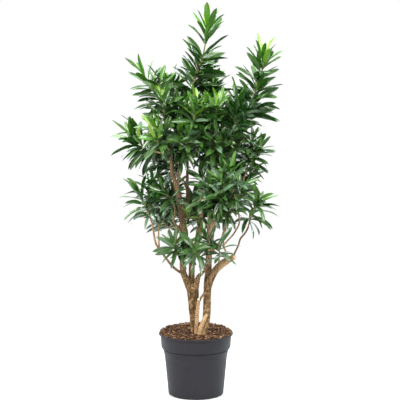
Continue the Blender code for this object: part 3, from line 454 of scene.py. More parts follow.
def limbLine(name):
    # a limb's fine line, with a flared foot that runs a little into what it grows on
    if name in trunks:
        return smoothLine([(seen(*place[:3]), place[3]) for place in trunks[name]], limbLook["spacing"])
    places = [(seen(*place[:3]), place[3]) for place in boughs[name][2]]
    line = smoothLine(places, limbLook["spacing"])
    walked = 0.0
    flared = []
    for index, (place, radius) in enumerate(line):
        if index:
            walked += (place - line[index - 1][0]).length
        share = max(0.0, 1 - walked / limbLook["footLength"]) * clamp(1.7 - radius / 0.0075)
        flared.append((place, radius * (1 + (limbLook["footFlare"] - 1) * share**2)))
    return flared


def clamp(value):
    return min(1.0, max(0.0, value))


def barkRelief(place, centre, radius, walked, number, cells):
    # how far the bark moves out there, how dark it is in its grooves and how pale on its scars
    look = limbLook
    out = place - centre
    angle = math.atan2(out.y, out.x)
    thick = clamp((radius - 0.0125) / 0.006)
    middling = clamp((radius - 0.0052) / 0.0018) * (1 - thick)
    low, high = look["ringSpacing"]
    wobble = noise.noise((out * 90) + Vector((number * 7.1, 0, walked * 40)))
    ring = walked / (low + (high - low) * thick) + 0.35 * wobble + 0.12 * math.sin(angle + number)
    groove = math.exp(-((ring - math.floor(ring) - 0.5) / 0.13) ** 2) * (1 - middling) * (1 - 0.8 * thick)
    up = walked / look["scarSize"][1] + 0.25 * wobble
    around = angle / math.tau * cells + 0.5 * (math.floor(up) % 2)
    fromScar = abs(around - math.floor(around) - 0.5) + abs(up - math.floor(up) - 0.5)
    diamond = clamp((0.50 - fromScar) / 0.14)
    sides = Vector((math.cos(angle), math.sin(angle), 0))
    ridge = noise.noise(sides * 3.2 + Vector((0, 0, walked * 22 + number * 5)))
    split = noise.noise(sides * 4.5 + Vector((7, 0, walked * 30 + number * 3)))
    crack = clamp(1 - abs(split) / 0.10)
    lump = noise.noise(place * 42)
    move = -min(radius * look["ringDepth"], look["ringDepthMost"]) * groove
    move += middling * (diamond - 0.35) * look["scarRise"]
    move += thick * (ridge * look["ridges"] + lump * look["lumps"] - crack * look["cracks"])
    patchy = 0.25 + 0.55 * clamp(0.5 + 1.6 * noise.noise(place * 30))
    dark = max(groove, middling * (1 - diamond) * patchy, thick * clamp(-ridge * 2.0), thick * crack * 0.85)
    return move, dark, middling * diamond


def limbSkin(name, members, material, lines):
    # one skin over a stem and its boughs, with leaf scars and, on the thick parts, ridges and cracks
    shape = bmesh.new()
    for member in members:
        limbTube(shape, lines[member], limbLook["sides"])
    item = addPiece(name, shape)
    remesh = item.modifiers.new("skin", "REMESH")
    remesh.mode = "VOXEL"
    remesh.voxel_size = limbLook["voxel"]
    smooth = item.modifiers.new("soften", "SMOOTH")
    smooth.factor = 0.5
    smooth.iterations = limbLook["smoothing"]
    settle(item)
    samples = []
    for number, member in enumerate(members):
        line = lines[member]
        walked = 0.0
        cells = max(4, round(math.tau * line[len(line) // 2][1] / limbLook["scarSize"][0]))
        for index in range(len(line) - 1):
            start, radius = line[index]
            end, endRadius = line[index + 1]
            length = (end - start).length
            steps = max(1, round(length / 0.001))
            for step in range(steps):
                part = step / steps
                samples.append((start.lerp(end, part), radius + (endRadius - radius) * part,
                                walked + length * part, number, cells))
            walked += length
    tree = KDTree(len(samples))
    for index, sample in enumerate(samples):
        tree.insert(sample[0], index)
    tree.balance()
    mesh = item.data
    count = len(mesh.vertices)
    places = np.empty(count * 3, dtype=np.float32)
    normals = np.empty(count * 3, dtype=np.float32)
    mesh.vertices.foreach_get("co", places)
    mesh.vertices.foreach_get("normal", normals)
    places = places.reshape(-1, 3)
    normals = normals.reshape(-1, 3)
    relief = np.zeros((count, 3), dtype=np.float32)
    for index in range(count):
        place = Vector(places[index])
        relief[index] = barkRelief(place, *samples[tree.find(place)[1]])
    mesh.vertices.foreach_set("co", (places + normals * relief[:, :1]).ravel())
    for layer, column in (("groove", 1), ("scar", 2)):
        mesh.attributes.new(layer, "FLOAT", "POINT").data.foreach_set("value", relief[:, column].copy())
    mesh.update()
    mesh.shade_smooth()
    item.data.materials.clear()
    item.data.materials.append(material)
    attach(item, "root")
    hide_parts(*members)
    return item


# Each bark turns to its upper colour between two heights, by a share: these are its change. The upper colour is partly
# the paler bark of the higher limbs and partly painted light, lifting limbs that the leaves shade.
barkLooks = dict(
    brownBark=dict(light=(0.62, 0.385, 0.205), dark=(0.185, 0.100, 0.036), groove=(0.040, 0.021, 0.008),
                   scar=(0.62, 0.41, 0.235), moss=(0.070, 0.051, 0.014), upper=(0.74, 0.50, 0.31),
                   mossShare=0.30, roughness=0.82, change=(0.47, 0.64, 0.8)),
    paleBark=dict(light=(0.74, 0.50, 0.285), dark=(0.46, 0.28, 0.13), groove=(0.14, 0.072, 0.028),
                  scar=(0.78, 0.55, 0.33), moss=(0.22, 0.135, 0.04), upper=(0.74, 0.52, 0.32),
                  mossShare=0.14, roughness=0.75, change=(0.47, 0.64, 0.8)),
    stubBark=dict(light=(0.62, 0.385, 0.205), dark=(0.185, 0.100, 0.036), groove=(0.10, 0.052, 0.020),
                  scar=(0.74, 0.51, 0.30), moss=(0.10, 0.070, 0.020), upper=(0.72, 0.48, 0.27),
                  mossShare=0.20, roughness=0.78, change=(0.435, 0.50, 0.75)),
    reddishBark=dict(light=(0.42, 0.20, 0.115), dark=(0.18, 0.072, 0.038), groove=(0.05, 0.021, 0.012),
                     scar=(0.54, 0.30, 0.17), moss=(0.09, 0.052, 0.024), upper=(0.46, 0.23, 0.14),
                     mossShare=0.16, roughness=0.78, change=(0.47, 0.64, 0.8)),
    greenBark=dict(light=(0.30, 0.36, 0.12), dark=(0.17, 0.24, 0.07), groove=(0.12, 0.13, 0.05),
                   scar=(0.34, 0.38, 0.16), moss=(0.14, 0.18, 0.05), upper=(0.30, 0.36, 0.12),
                   mossShare=0.10, roughness=0.6, change=(0.47, 0.64, 0.8)),
)
barkGloss = 0.15


def barkMaterial(name):
    look = barkLooks[name]
    material, tree, shader = newMaterial(name, look["roughness"])
    shader.inputs["Specular IOR Level"].default_value = barkGloss
    place = addNode(tree, "ShaderNodeTexCoord").outputs["Object"]
    height = addNode(tree, "ShaderNodeSeparateXYZ", {"Vector": place}).outputs["Z"]
    tone = useGroup(tree, unevenTone, {"Colour": (*look["light"], 1), "Other Colour": (*look["dark"], 1),
                                       "Patch Size": 34.0, "Mottle Size": 210.0, "Strength": 0.95,
                                       "Stretch": (1, 1, 0.4)})
    patches = useGroup(tree, speckle, {"Size": 62.0, "Share": look["mossShare"]})
    pores = useGroup(tree, speckle, {"Size": 520.0, "Share": 0.22})
    grooves = addNode(tree, "ShaderNodeAttribute", attribute_name="groove")
    scars = addNode(tree, "ShaderNodeAttribute", attribute_name="scar")
    mossy = mixColour(tree, mapRange(tree, patches["Mask"], 0.0, 1.0, 0.0, 0.8), tone["Colour"], look["moss"])
    # higher up the bark turns to its upper colour: partly paler bark, partly painted light on limbs in the leaves'
    # shade
    low, high, share = look["change"]
    paleAndLitHigher = mapRange(tree, height, low, high, 0.0, share)
    changed = mixColour(tree, paleAndLitHigher, mossy, look["upper"])
    scarred = mixColour(tree, mapRange(tree, scars.outputs["Fac"], 0.2, 1.0, 0.0, 0.7), changed, look["scar"])
    grooved = mixColour(tree, mapRange(tree, grooves.outputs["Fac"], 0.15, 1.0, 0.0, 0.85), scarred, look["groove"])
    worn = mixColour(tree, pores["Mask"], grooved, look["groove"])
    tree.links.new(worn, shader.inputs["Base Color"])
    fine = addNode(tree, "ShaderNodeTexNoise", {"Vector": place, "Scale": 420.0, "Detail": 5.0, "Roughness": 0.65})
    addBump(tree, shader, fine.outputs["Fac"], 0.55, 0.0006)
    return material


print("skinning the stems and boughs")
limbLines = {name: limbLine(name) for name in [*trunks, *boughs]}
limbGroups = {                  # each skin's bark, its slot and its limbs
    "barkLeft": ("brownBark", "bark", [
        "trunk_left", "bough_left", "bough_left_thin", "bough_middle", "bough_middle_thin"]),
    "barkRight": ("brownBark", "bark", [
        "trunk_right", "bough_right", "bough_right_low", "bough_right_outer"]),
    "barkStub": ("stubBark", "bark_pale", ["bough_right_stub"]),
    "barkReddish": ("reddishBark", "bark_reddish", ["bough_crossing", "bough_stub_outer"]),
    "barkLeftUpper": ("paleBark", "bark_pale", [
        "bough_left_outer", "bough_left_inner", "bough_left_young", "bough_middle_left", "bough_middle_right"]),
    "barkRightUpper": ("paleBark", "bark_pale", [
        "bough_stub_inner", "bough_stub_inner_left", "bough_stub_inner_right"]),
    "barkFront": ("paleBark", "bark_pale", ["stem_front"]),
    "barkFrontBough": ("brownBark", "bark", ["bough_front"]),
}
barks = {name: barkMaterial(name) for name in barkLooks}
for pieceName, (bark, slot, members) in limbGroups.items():
    limbSkin(pieceName, members, barks[bark], limbLines)

woodLook = dict(
    colour=(0.86, 0.70, 0.46), other=(0.66, 0.46, 0.26), roughness=0.7,
    cuts=(("stem_front", 0.0056, (0.10, -1.0, 0.30)), ("bough_right_stub", 0.0062, (0.35, -0.9, 0.10))),
    depth=0.0022,               # half the thickness of a cut face
    knob=("bough_right_stub", 0.0115),
    foot=((0.0440, 0.3247, -0.030, 0.0066), (0.0310, 0.2960, -0.036, 0.0090),
          (0.0200, 0.2680, -0.039, 0.0094), (0.0140, 0.2420, -0.040, 0.0098)),
)


def makeOldWood():
    # cut faces and a knob where the plant was pruned, and the old stump at the right stem's foot
    look = woodLook
    cuts = bmesh.new()
    for name, radius, towards in look["cuts"]:
        end, limbRadius = limbLines[name][-1]
        facing = Vector(towards).normalized()
        turn = facing.to_track_quat("Z", "Y").to_matrix().to_4x4()
        place = Matrix.Translation(end + facing * (max(limbRadius, look["knob"][1] if name == look["knob"][0] else 0)
                                                   - look["depth"] * 0.4))
        bmesh.ops.create_uvsphere(cuts, u_segments=20, v_segments=10, radius=1.0,
                                  matrix=place @ turn @ Matrix.Diagonal((radius, radius, look["depth"], 1)))
    faces = addPiece("prunedFaces", cuts)
    material, tree, shader = newMaterial("prunedWood", look["roughness"])
    tone = useGroup(tree, unevenTone, {"Colour": (*look["colour"], 1), "Other Colour": (*look["other"], 1),
                                       "Patch Size": 260.0, "Mottle Size": 900.0, "Strength": 0.8})
    tree.links.new(tone["Colour"], shader.inputs["Base Color"])
    tree.links.new(mapRange(tree, tone["Mask"], 0.0, 1.0, 0.62, 0.78), shader.inputs["Roughness"])
    faces.data.materials.append(material)
    knob = bmesh.new()
    name, radius = look["knob"]
    bmesh.ops.create_icosphere(knob, subdivisions=4, radius=radius, matrix=Matrix.Translation(limbLines[name][-1][0]))
    for corner in knob.verts:
        corner.co += corner.normal * 0.0012 * noise.noise(corner.co * 150)
    stump = bmesh.new()
    line = smoothLine([(seen(*place[:3]), place[3]) for place in look["foot"]], limbLook["spacing"])
    limbTube(stump, line, limbLook["sides"])
    bmesh.ops.subdivide_edges(stump, edges=stump.edges[:], cuts=2, use_grid_fill=True)
    for corner in stump.verts:
        corner.co += corner.normal * 0.0016 * noise.noise(corner.co * 120)
    for pieceName, shape in (("stubKnob", knob), ("oldStump", stump)):
        piece = addPiece(pieceName, shape)
        piece.data.materials.append(barks["stubBark" if pieceName == "stubKnob" else "paleBark"])
        for layer in ("groove", "scar"):
            piece.data.attributes.new(layer, "FLOAT", "POINT")
        piece.data.shade_smooth()
        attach(piece, "root")
    faces.data.shade_smooth()
    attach(faces, "root")


makeOldWood()

# How far a leaf is from the nearest limb is read from these.
limbTree = KDTree(sum(len(line) for line in limbLines.values()))
limbRadii = []
for line in limbLines.values():
    for place, radius in line:
        limbTree.insert(place, len(limbRadii))
        limbRadii.append(radius)
limbTree.balance()

# Each mass: the limb it grows on, how far up that limb (1 is its tip), places along its own stem
# (across, up, behind), the leafy stretches of the stem as (from, to), how strongly the leaves hang and
# its colour; the "shade" colour gives darker leaves as painted shade, for the low and inner masses under the crown.
# Some also say how many twigs it has, how far apart its leaves are and how long.
masses = {
    "mass_top": dict(
        limb="bough_middle_left", at=1.0, stretches=[(0.04, 0.62), (0.74, 1.0), (0.26, 0.64)],
        hang=0.10, spread=math.radians(68), colour="lush", twigs=0, spacing=0.0054, leafLength=0.118, seed=18,
        stem=[(-0.011, 1.225, 0.030), (0.002, 1.280, 0.020), (0.023, 1.330, 0.005), (0.035, 1.390, 0.0),
              (0.047, 1.476, 0.0)]),
    "mass_right_top": dict(
        limb="bough_right", at=1.0, stretches=[(0.0, 0.68), (0.80, 1.0), (0.0, 0.66)],
        hang=0.16, spread=math.radians(68), colour="lush", twigs=1, spacing=0.0054, leafLength=0.108, seed=16,
        stem=[(0.220, 1.140, -0.010), (0.231, 1.200, -0.010), (0.250, 1.300, -0.020),
              (0.262, 1.355, -0.030)]),
    "mass_left_top": dict(
        limb="bough_left_outer", at=1.0, stretches=[(0.10, 1.0)], hang=0.30, colour="green",
        twigs=1, spacing=0.0050, leafLength=0.104, seed=17,
        stem=[(-0.135, 1.160, -0.040), (-0.160, 1.210, -0.045), (-0.185, 1.250, -0.050),
              (-0.207, 1.282, -0.050)]),
    "mass_left_bright": dict(
        limb="bough_left_outer", at=0.85, stretches=[(0.30, 1.0)], hang=0.12, colour="bright", twigs=0, seed=3,
        stem=[(-0.122, 1.105, -0.080), (-0.127, 1.155, -0.100), (-0.133, 1.200, -0.100)]),
    "mass_crest": dict(
        limb="bough_left_inner", at=1.0, stretches=[(0.30, 1.0)], hang=0.20, colour="green", seed=11,
        stem=[(-0.078, 1.110, 0.060), (-0.096, 1.190, 0.080), (-0.104, 1.255, 0.080)]),
    "mass_middle_back": dict(
        limb="bough_middle", at=0.48, stretches=[(0.30, 1.0)], hang=0.55, colour="dark",
        stem=[(0.014, 0.705, 0.100), (0.000, 0.750, 0.145), (-0.005, 0.800, 0.160)]),
    "mass_left_centre": dict(
        limb="bough_left_inner", at=0.80, stretches=[(0.20, 1.0)], hang=0.80, colour="dark",
        stem=[(-0.052, 1.060, -0.020), (-0.050, 1.120, -0.040), (-0.055, 1.170, -0.045)]),
    "mass_centre_front": dict(
        limb="bough_middle_left", at=0.40, stretches=[(0.25, 1.0)], hang=0.40, colour="bright", seed=12,
        stem=[(-0.008, 1.055, -0.050), (-0.007, 1.095, -0.110), (-0.004, 1.130, -0.125),
              (0.001, 1.172, -0.125)]),
    "mass_right_bright": dict(
        limb="bough_middle_right", at=1.0, stretches=[(0.25, 1.0)], hang=0.18, colour="bright", seed=22,
        stem=[(0.080, 1.085, -0.030), (0.086, 1.130, -0.070), (0.092, 1.168, -0.080)]),
    "mass_top_back": dict(
        limb="bough_middle_left", at=0.75, stretches=[(0.30, 1.0)], hang=0.15, colour="green", seed=19,
        stem=[(0.028, 1.140, 0.080), (0.055, 1.200, 0.110), (0.075, 1.255, 0.115)]),
    "mass_centre": dict(
        limb="bough_middle_right", at=0.60, stretches=[(0.22, 1.0)], hang=0.90, colour="dark",
        stem=[(0.064, 1.040, 0.060), (0.060, 1.090, 0.080), (0.066, 1.140, 0.075)]),
    "mass_centre_right": dict(
        limb="bough_middle_right", at=0.35, stretches=[(0.05, 1.0)], hang=1.20, colour="dark",
        stem=[(0.060, 0.965, -0.050), (0.076, 0.990, -0.105), (0.084, 1.022, -0.135)]),
    "mass_front_middle": dict(
        limb="bough_left_inner", at=0.35, stretches=[(0.32, 1.0)], hang=1.20, colour="dark",
        stem=[(-0.052, 0.965, -0.055), (-0.036, 1.005, -0.120), (-0.028, 1.045, -0.145)]),
    "mass_left_middle": dict(
        limb="bough_left_outer", at=0.42, stretches=[(0.30, 1.0)], hang=1.05, colour="green",
        twigs=2, spacing=0.0048, leafLength=0.106, seed=16,
        stem=[(-0.141, 0.972, -0.030), (-0.190, 0.980, -0.030), (-0.232, 1.002, -0.025),
              (-0.258, 1.044, -0.020)]),
    "mass_left_front": dict(
        limb="bough_left_outer", at=0.52, stretches=[(0.38, 1.0)], hang=0.90, colour="bright", seed=10,
        stem=[(-0.112, 0.995, -0.070), (-0.126, 1.030, -0.120), (-0.152, 1.068, -0.140)]),
    "mass_left_low": dict(
        limb="bough_left_thin", at=1.0, stretches=[(0.26, 1.0)], hang=1.25, colour="mid",
        twigs=2, spacing=0.0045, leafLength=0.108, seed=11,
        stem=[(-0.186, 0.729, -0.036), (-0.202, 0.764, -0.034), (-0.216, 0.790, -0.030),
              (-0.222, 0.816, -0.030)]),
    "mass_left_inner": dict(
        limb="bough_left_thin", at=0.62, stretches=[(0.45, 1.0)], hang=0.45, colour="mid",
        stem=[(-0.148, 0.660, 0.020), (-0.136, 0.750, 0.040), (-0.138, 0.850, 0.040)]),
    "mass_young_left": dict(
        limb="bough_left_young", at=1.0, stretches=[(0.12, 1.0)], hang=1.20, colour="shade", twigs=2, seed=12,
        stem=[(-0.098, 0.788, -0.070), (-0.124, 0.815, -0.086)]),
    "mass_trunk_tuft": dict(
        limb="bough_left", at=0.66, stretches=[(0.35, 1.0)],
        hang=0.80, colour="tuft", leafLength=0.055, twigs=0,
        stem=[(-0.030, 0.715, -0.030), (-0.024, 0.732, -0.036)]),
    "mass_left_low_front": dict(
        limb="bough_left", at=0.28, stretches=[(0.40, 1.0)], hang=0.90, colour="shade", twigs=1,
        stem=[(-0.070, 0.568, -0.040), (-0.083, 0.592, -0.085), (-0.088, 0.610, -0.110)]),
    "mass_front_low": dict(
        limb="bough_right_low", at=1.0, stretches=[(0.05, 1.0)], hang=0.90, colour="shade", twigs=1,
        stem=[(0.004, 0.568, -0.124), (0.001, 0.584, -0.142), (0.000, 0.602, -0.150)]),
    "mass_right_low": dict(
        limb="bough_front", at=1.0, stretches=[(0.05, 1.0)], hang=1.00, colour="shade", twigs=1,
        stem=[(0.094, 0.575, -0.094), (0.092, 0.612, -0.100)]),
    "mass_right_low_front": dict(
        limb="bough_stub_inner_left", at=1.0, stretches=[(0.06, 1.0)], hang=1.20, colour="shade",
        stem=[(0.120, 0.755, -0.115), (0.106, 0.795, -0.145), (0.102, 0.825, -0.155)]),
    "mass_right_front": dict(
        limb="bough_stub_inner_right", at=1.0, stretches=[(0.10, 1.0)], hang=1.00, colour="mid",
        stem=[(0.148, 0.825, -0.120), (0.138, 0.868, -0.148), (0.132, 0.902, -0.158)]),
    "mass_centre_low": dict(
        limb="bough_middle_thin", at=1.0, stretches=[(0.05, 1.0)], hang=0.90, colour="shade",
        stem=[(0.050, 0.805, -0.122), (0.048, 0.850, -0.146)]),
    "mass_right_hanging": dict(
        limb="bough_stub_outer", at=1.0, stretches=[(0.15, 1.0)], hang=1.55, colour="mid",
        twigs=1, spacing=0.0046, leafLength=0.104, seed=20,
        stem=[(0.217, 0.712, -0.036), (0.230, 0.745, -0.036), (0.247, 0.775, -0.034)]),
    "mass_right_middle": dict(
        limb="bough_right_outer", at=1.0, stretches=[(0.12, 1.0)], hang=0.85, colour="mid", seed=1,
        stem=[(0.208, 0.932, 0.026), (0.222, 0.972, 0.020), (0.240, 0.998, 0.020)]),
    "mass_right_middle_low": dict(
        limb="bough_right_outer", at=0.86, stretches=[(0.25, 1.0)], hang=0.90, colour="mid",
        twigs=2, leafLength=0.084,
        stem=[(0.194, 0.850, 0.052), (0.202, 0.860, 0.068), (0.210, 0.872, 0.074)]),
    "mass_right_inner": dict(
        limb="bough_right", at=0.72, stretches=[(0.25, 1.0)], hang=0.15, colour="dark", seed=14,
        stem=[(0.142, 1.010, -0.060), (0.150, 1.075, -0.085), (0.160, 1.150, -0.085),
              (0.164, 1.198, -0.085)]),
    "mass_back_right": dict(
        limb="bough_right", at=0.60, stretches=[(0.10, 1.0)],
        hang=0.70, colour="dark", twigs=4, leafLength=0.116,
        stem=[(0.104, 0.930, 0.075), (0.126, 1.000, 0.140), (0.142, 1.080, 0.165), (0.146, 1.120, 0.170)]),
    "mass_back_centre": dict(
        limb="bough_crossing", at=1.0, stretches=[(0.25, 1.0)],
        hang=0.40, colour="dark", twigs=4, leafLength=0.116,
        stem=[(-0.030, 1.010, 0.120), (-0.035, 1.080, 0.160), (-0.038, 1.150, 0.170)]),
    "mass_back_left": dict(
        limb="bough_crossing", at=0.78, stretches=[(0.35, 1.0)],
        hang=0.40, colour="dark", twigs=4, leafLength=0.116,
        stem=[(-0.075, 0.885, 0.125), (-0.120, 0.950, 0.165), (-0.142, 1.020, 0.180)]),
    "mass_back_low_left": dict(
        limb="bough_crossing", at=0.36, stretches=[(0.35, 1.0)], hang=0.50, colour="dark",
        stem=[(-0.112, 0.680, 0.090), (-0.140, 0.730, 0.125), (-0.150, 0.785, 0.135)]),
    "mass_back_low_right": dict(
        limb="bough_right_outer", at=0.52, stretches=[(0.30, 1.0)], hang=0.50, colour="dark",
        stem=[(0.144, 0.760, 0.095), (0.160, 0.815, 0.140), (0.165, 0.865, 0.158)]),
    "mass_low_back": dict(
        limb="bough_right", at=0.30, stretches=[(0.35, 1.0)], hang=0.50, colour="dark",
        stem=[(0.072, 0.690, 0.070), (0.080, 0.735, 0.115), (0.082, 0.775, 0.130)]),
    "mass_middle_tuft": dict(
        limb="bough_middle", at=0.48, stretches=[(0.40, 1.0)],
        hang=1.00, colour="shade", leafLength=0.055, twigs=0, spacing=0.003,
        stem=[(0.002, 0.706, 0.022), (-0.006, 0.718, 0.010)]),
}

twigLook = dict(
    usual=4,                    # twigs of a shoot whose recipe says no number
    first=0.20,                 # where on the shoot they start, and over what share of it
    stretch=0.55,
    angle=math.radians(48),
    length=0.060,
    lengthChange=0.040,
    rise=0.8,
    radius=0.0028,
    tipShare=0.8,
    bareShare=0.35,
    leafShare=0.88,             # its leaves against the shoot's
    tries=6,
)

shootLook = dict(
    spacing=0.0016,
    sides=10,
    radius=0.0042,
    tipRadius=0.0026,
    limbShare=0.86,
    rootDepth=0.004,
    joint=0.0058,               # between the joints where leaves sat
    jointDepth=0.07,            # share of the radius
    greenFrom=0.45,             # the upper part of a shoot is green
)

leafLook = dict(
    spacing=0.0042,             # along the shoot
    length=0.088,
    width=0.222,                # share of the length
    widthChange=0.30,
    leastLength=0.80,
    lengthChange=0.34,
    tipShare=0.86,              # how short the innermost leaf is
    grownAge=0.12,
    youngSpread=math.radians(13),
    oldSpread=math.radians(72),
    mostSpread=math.radians(88),
    spreadPower=0.40,
    spreadChange=0.80,
    roll=math.radians(70),
    leastRoll=0.0,
    arch=0.16,
    archChange=0.5,
    tipThinning=0.8,            # below 1, leaves stand further apart towards the tip
    clear=0.0025,               # from a limb's bark
    reach=0.012,                # how far past its solid's box a tip may go
    rows=8,
    strips=4,
)

leafOutline = dict(
    at=(0.0, 0.04, 0.10, 0.22, 0.36, 0.52, 0.68, 0.82, 0.91, 0.97, 1.0),
    width=(0.62, 0.42, 0.46, 0.72, 0.93, 1.0, 0.94, 0.74, 0.50, 0.24, 0.0),
    foldAt=(0.0, 0.05, 0.2, 0.5, 1.0),
    fold=(1.25, 0.85, 0.54, 0.42, 0.30),
)


def shootLine(recipe):
    start, heading, limbRadius = along(limbLines[recipe["limb"]], recipe["at"])
    if recipe["at"] == 1.0:
        start = start - heading * shootLook["rootDepth"]
    radius = min(shootLook["radius"], limbRadius * shootLook["limbShare"])
    stem = recipe["stem"]
    places = [(start, radius)]
    for index, place in enumerate(stem):
        share = (index + 1) / len(stem)
        places.append((seen(*place), radius + (shootLook["tipRadius"] - radius) * share))
    return smoothLine(places, 0.006)


def twigLine(stem, seed, index, count, turnMore):
    # a side twig: where it leaves the shoot, its side and its upward bend follow from the seed
    look = twigLook
    place, heading, radius = along(stem, look["first"] + look["stretch"] * (index + repeatable(seed, index)) / count)
    side = asideFrom(heading, goldenAngle * index + math.tau * repeatable(seed, 50 + index) + turnMore)
    out = heading * math.cos(look["angle"]) + side * math.sin(look["angle"])
    half = (look["length"] + look["lengthChange"] * repeatable(seed, 80 + index)) / 2
    middle = place + out * half
    tip = middle + (out + Vector((0, 0, look["rise"]))).normalized() * half
    thick = min(radius * 0.9, look["radius"])
    return smoothLine([(place, thick), (middle, thick), (tip, thick * look["tipShare"])], 0.006)


def planLeaf(line, share, age, turn, seed, index, recipe, change):
    turnChange, spreadChange, lengthShare = change
    place, heading, radius = along(line, share)
    outward = asideFrom(heading, turn + turnChange)
    look = leafLook
    oldSpread = recipe.get("spread", look["oldSpread"])
    spread = look["youngSpread"] + (oldSpread - look["youngSpread"]) * age ** look["spreadPower"]
    spread += look["spreadChange"] * (repeatable(seed, index) - 0.5) * min(1, 0.3 + age) + spreadChange
    spread = max(0.05, min(spread, look["mostSpread"]))
    out = heading * math.cos(spread) + outward * math.sin(spread)
    across = heading.cross(outward).normalized()
    roll = look["roll"] * (look["leastRoll"] + (1 - look["leastRoll"]) * repeatable(seed, index + 300))
    across = Quaternion(out, (roll if index % 2 else -roll) * min(1, 0.25 + age)) @ across
    grown = look["tipShare"] + (1 - look["tipShare"]) * min(1, age / look["grownAge"])
    length = recipe.get("leafLength", look["length"]) * grown * lengthShare
    length *= look["leastLength"] + look["lengthChange"] * repeatable(seed, index + 600)
    width = look["width"] * (1 + look["widthChange"] * (repeatable(seed, index + 2100) - 0.5))
    arch = look["arch"] * (1 + 2 * look["archChange"] * (repeatable(seed, index + 2400) - 0.5))
    return dict(root=place + outward * radius * 0.4, out=out, heading=heading, side=across, length=length,
                width=length * width, arch=arch,
                hang=recipe["hang"] * age, age=age, chance=repeatable(seed, index + 900),
                twist=(repeatable(seed, index + 1200) - 0.5) * 1.4, phase=math.tau * repeatable(seed, index + 1500))


leafChanges = [(0, 0, 1), (0.35, 0, 1), (-0.35, 0, 1), (0, -0.3, 1), (0.6, -0.2, 0.9), (-0.6, -0.2, 0.9)]


def isWithin(place, box):
    more = leafLook["reach"]
    return all(low - more <= value <= high + more for value, low, high in zip(place, *box))


def isClear(leaf, box):
    # whether the blade keeps off the limbs and its tip stays within its mass's reach
    down = Vector((0, 0, -1))
    for share in (0.3, 0.5, 0.75, 1.0):
        direction = (leaf["out"] + down * leaf["hang"] * (0.25 + 0.5 * share)).normalized()
        place = leaf["root"] + direction * leaf["length"] * share
        _, index, distance = limbTree.find(place)
        if distance < limbRadii[index] + leafLook["clear"]:
            return False
    return isWithin(place, box)


def lineLength(line):
    return sum((after[0] - before[0]).length for before, after in zip(line, line[1:]))


def leavesAlong(line, first, last, top, seed, index, recipe, box):
    # leaves on a stretch of a line, in a golden-angle spiral
    leaves = []
    count = max(4, round((last - first) * lineLength(line) / recipe.get("spacing", leafLook["spacing"])))
    for number in range(index, index + count):
        loose = 0.9 * (repeatable(seed, number + 1800) - 0.5)
        part = (number - index + 0.5 + loose) / count
        share = first + (last - first) * (1 - (1 - min(part, 1)) ** leafLook["tipThinning"])
        age = 1 - share if last == top else 0.4 + 0.6 * (last - share) / (last - first)
        turn = goldenAngle * number + math.tau * repeatable(seed, 999)
        for change in leafChanges:
            leaf = planLeaf(line, share, age, turn, seed, number, recipe, change)
            if isClear(leaf, box):
                leaf["shoot"] = recipe["colour"]
                leaves.append(leaf)
                break
    return leaves


def planTwigs(stem, seed, recipe, box):
    # side twigs of a shoot that stay within its reach and off the limbs
    count = recipe.get("twigs", twigLook["usual"])
    twigs = []
    for index in range(count):
        for attempt in range(twigLook["tries"]):
            line = twigLine(stem, seed, index, count, attempt * math.tau / twigLook["tries"])
            tip = line[-1][0]
            _, nearest, distance = limbTree.find(tip)
            if isWithin(tip, box) and distance > limbRadii[nearest] + 0.02:
                twigs.append(line)
                break
    return twigs


def planShoot(seed, name, recipe):
    # the shoot's line, its twigs and all their leaves
    line = shootLine(recipe)
    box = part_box(name)
    leaves = []
    top = max(end for _, end in recipe["stretches"])
    for first, last in recipe["stretches"]:
        leaves += leavesAlong(line, first, last, top, seed, len(leaves), recipe, box)
    twigs = planTwigs(line, seed, recipe, box)
    small = dict(recipe, leafLength=recipe.get("leafLength", leafLook["length"]) * twigLook["leafShare"])
    for index, twig in enumerate(twigs):
        leaves += leavesAlong(twig, twigLook["bareShare"], 1.0, 1.0, seed + 0.37 * (index + 1), 0, small, box)
    return line, twigs, leaves


paintedSheenShare = 0.11             # of the grown leaves, those whose pale blue-grey colour paints the sheen of their gloss


def leafKind(leaf):
    # which finish a leaf takes, by its shoot and its age
    age = leaf["age"] + 0.10 * (leaf["chance"] - 0.5)
    # "shade" shoots take the darker finishes: painted shade from the crown above them
    steps = {"tuft": (0.55, 1.2, 1.3, 1.4), "bright": (0.10, 0.30, 0.72, 1.2), "green": (0.06, 0.20, 0.58, 0.82),
             "lush": (0.05, 0.24, 0.80, 0.95),
             "mid": (-1, 0.14, 0.62, 0.88), "dark": (-1, 0.06, 0.38, 0.88), "shade": (-1, -1, 0.16, 0.80)}
    kinds = ("leavesBright", "leavesFresh", "leavesDeep", "leavesDark", "leavesGrey")
    kind = next((kind for kind, limit in zip(kinds, steps[leaf["shoot"]]) if age < limit), kinds[-1])
    # a share of the grown leaves take a pale finish that is painted sheen
    return "leavesPaintedSheen" if leaf["chance"] > 1 - paintedSheenShare and kind in kinds[2:] else kind


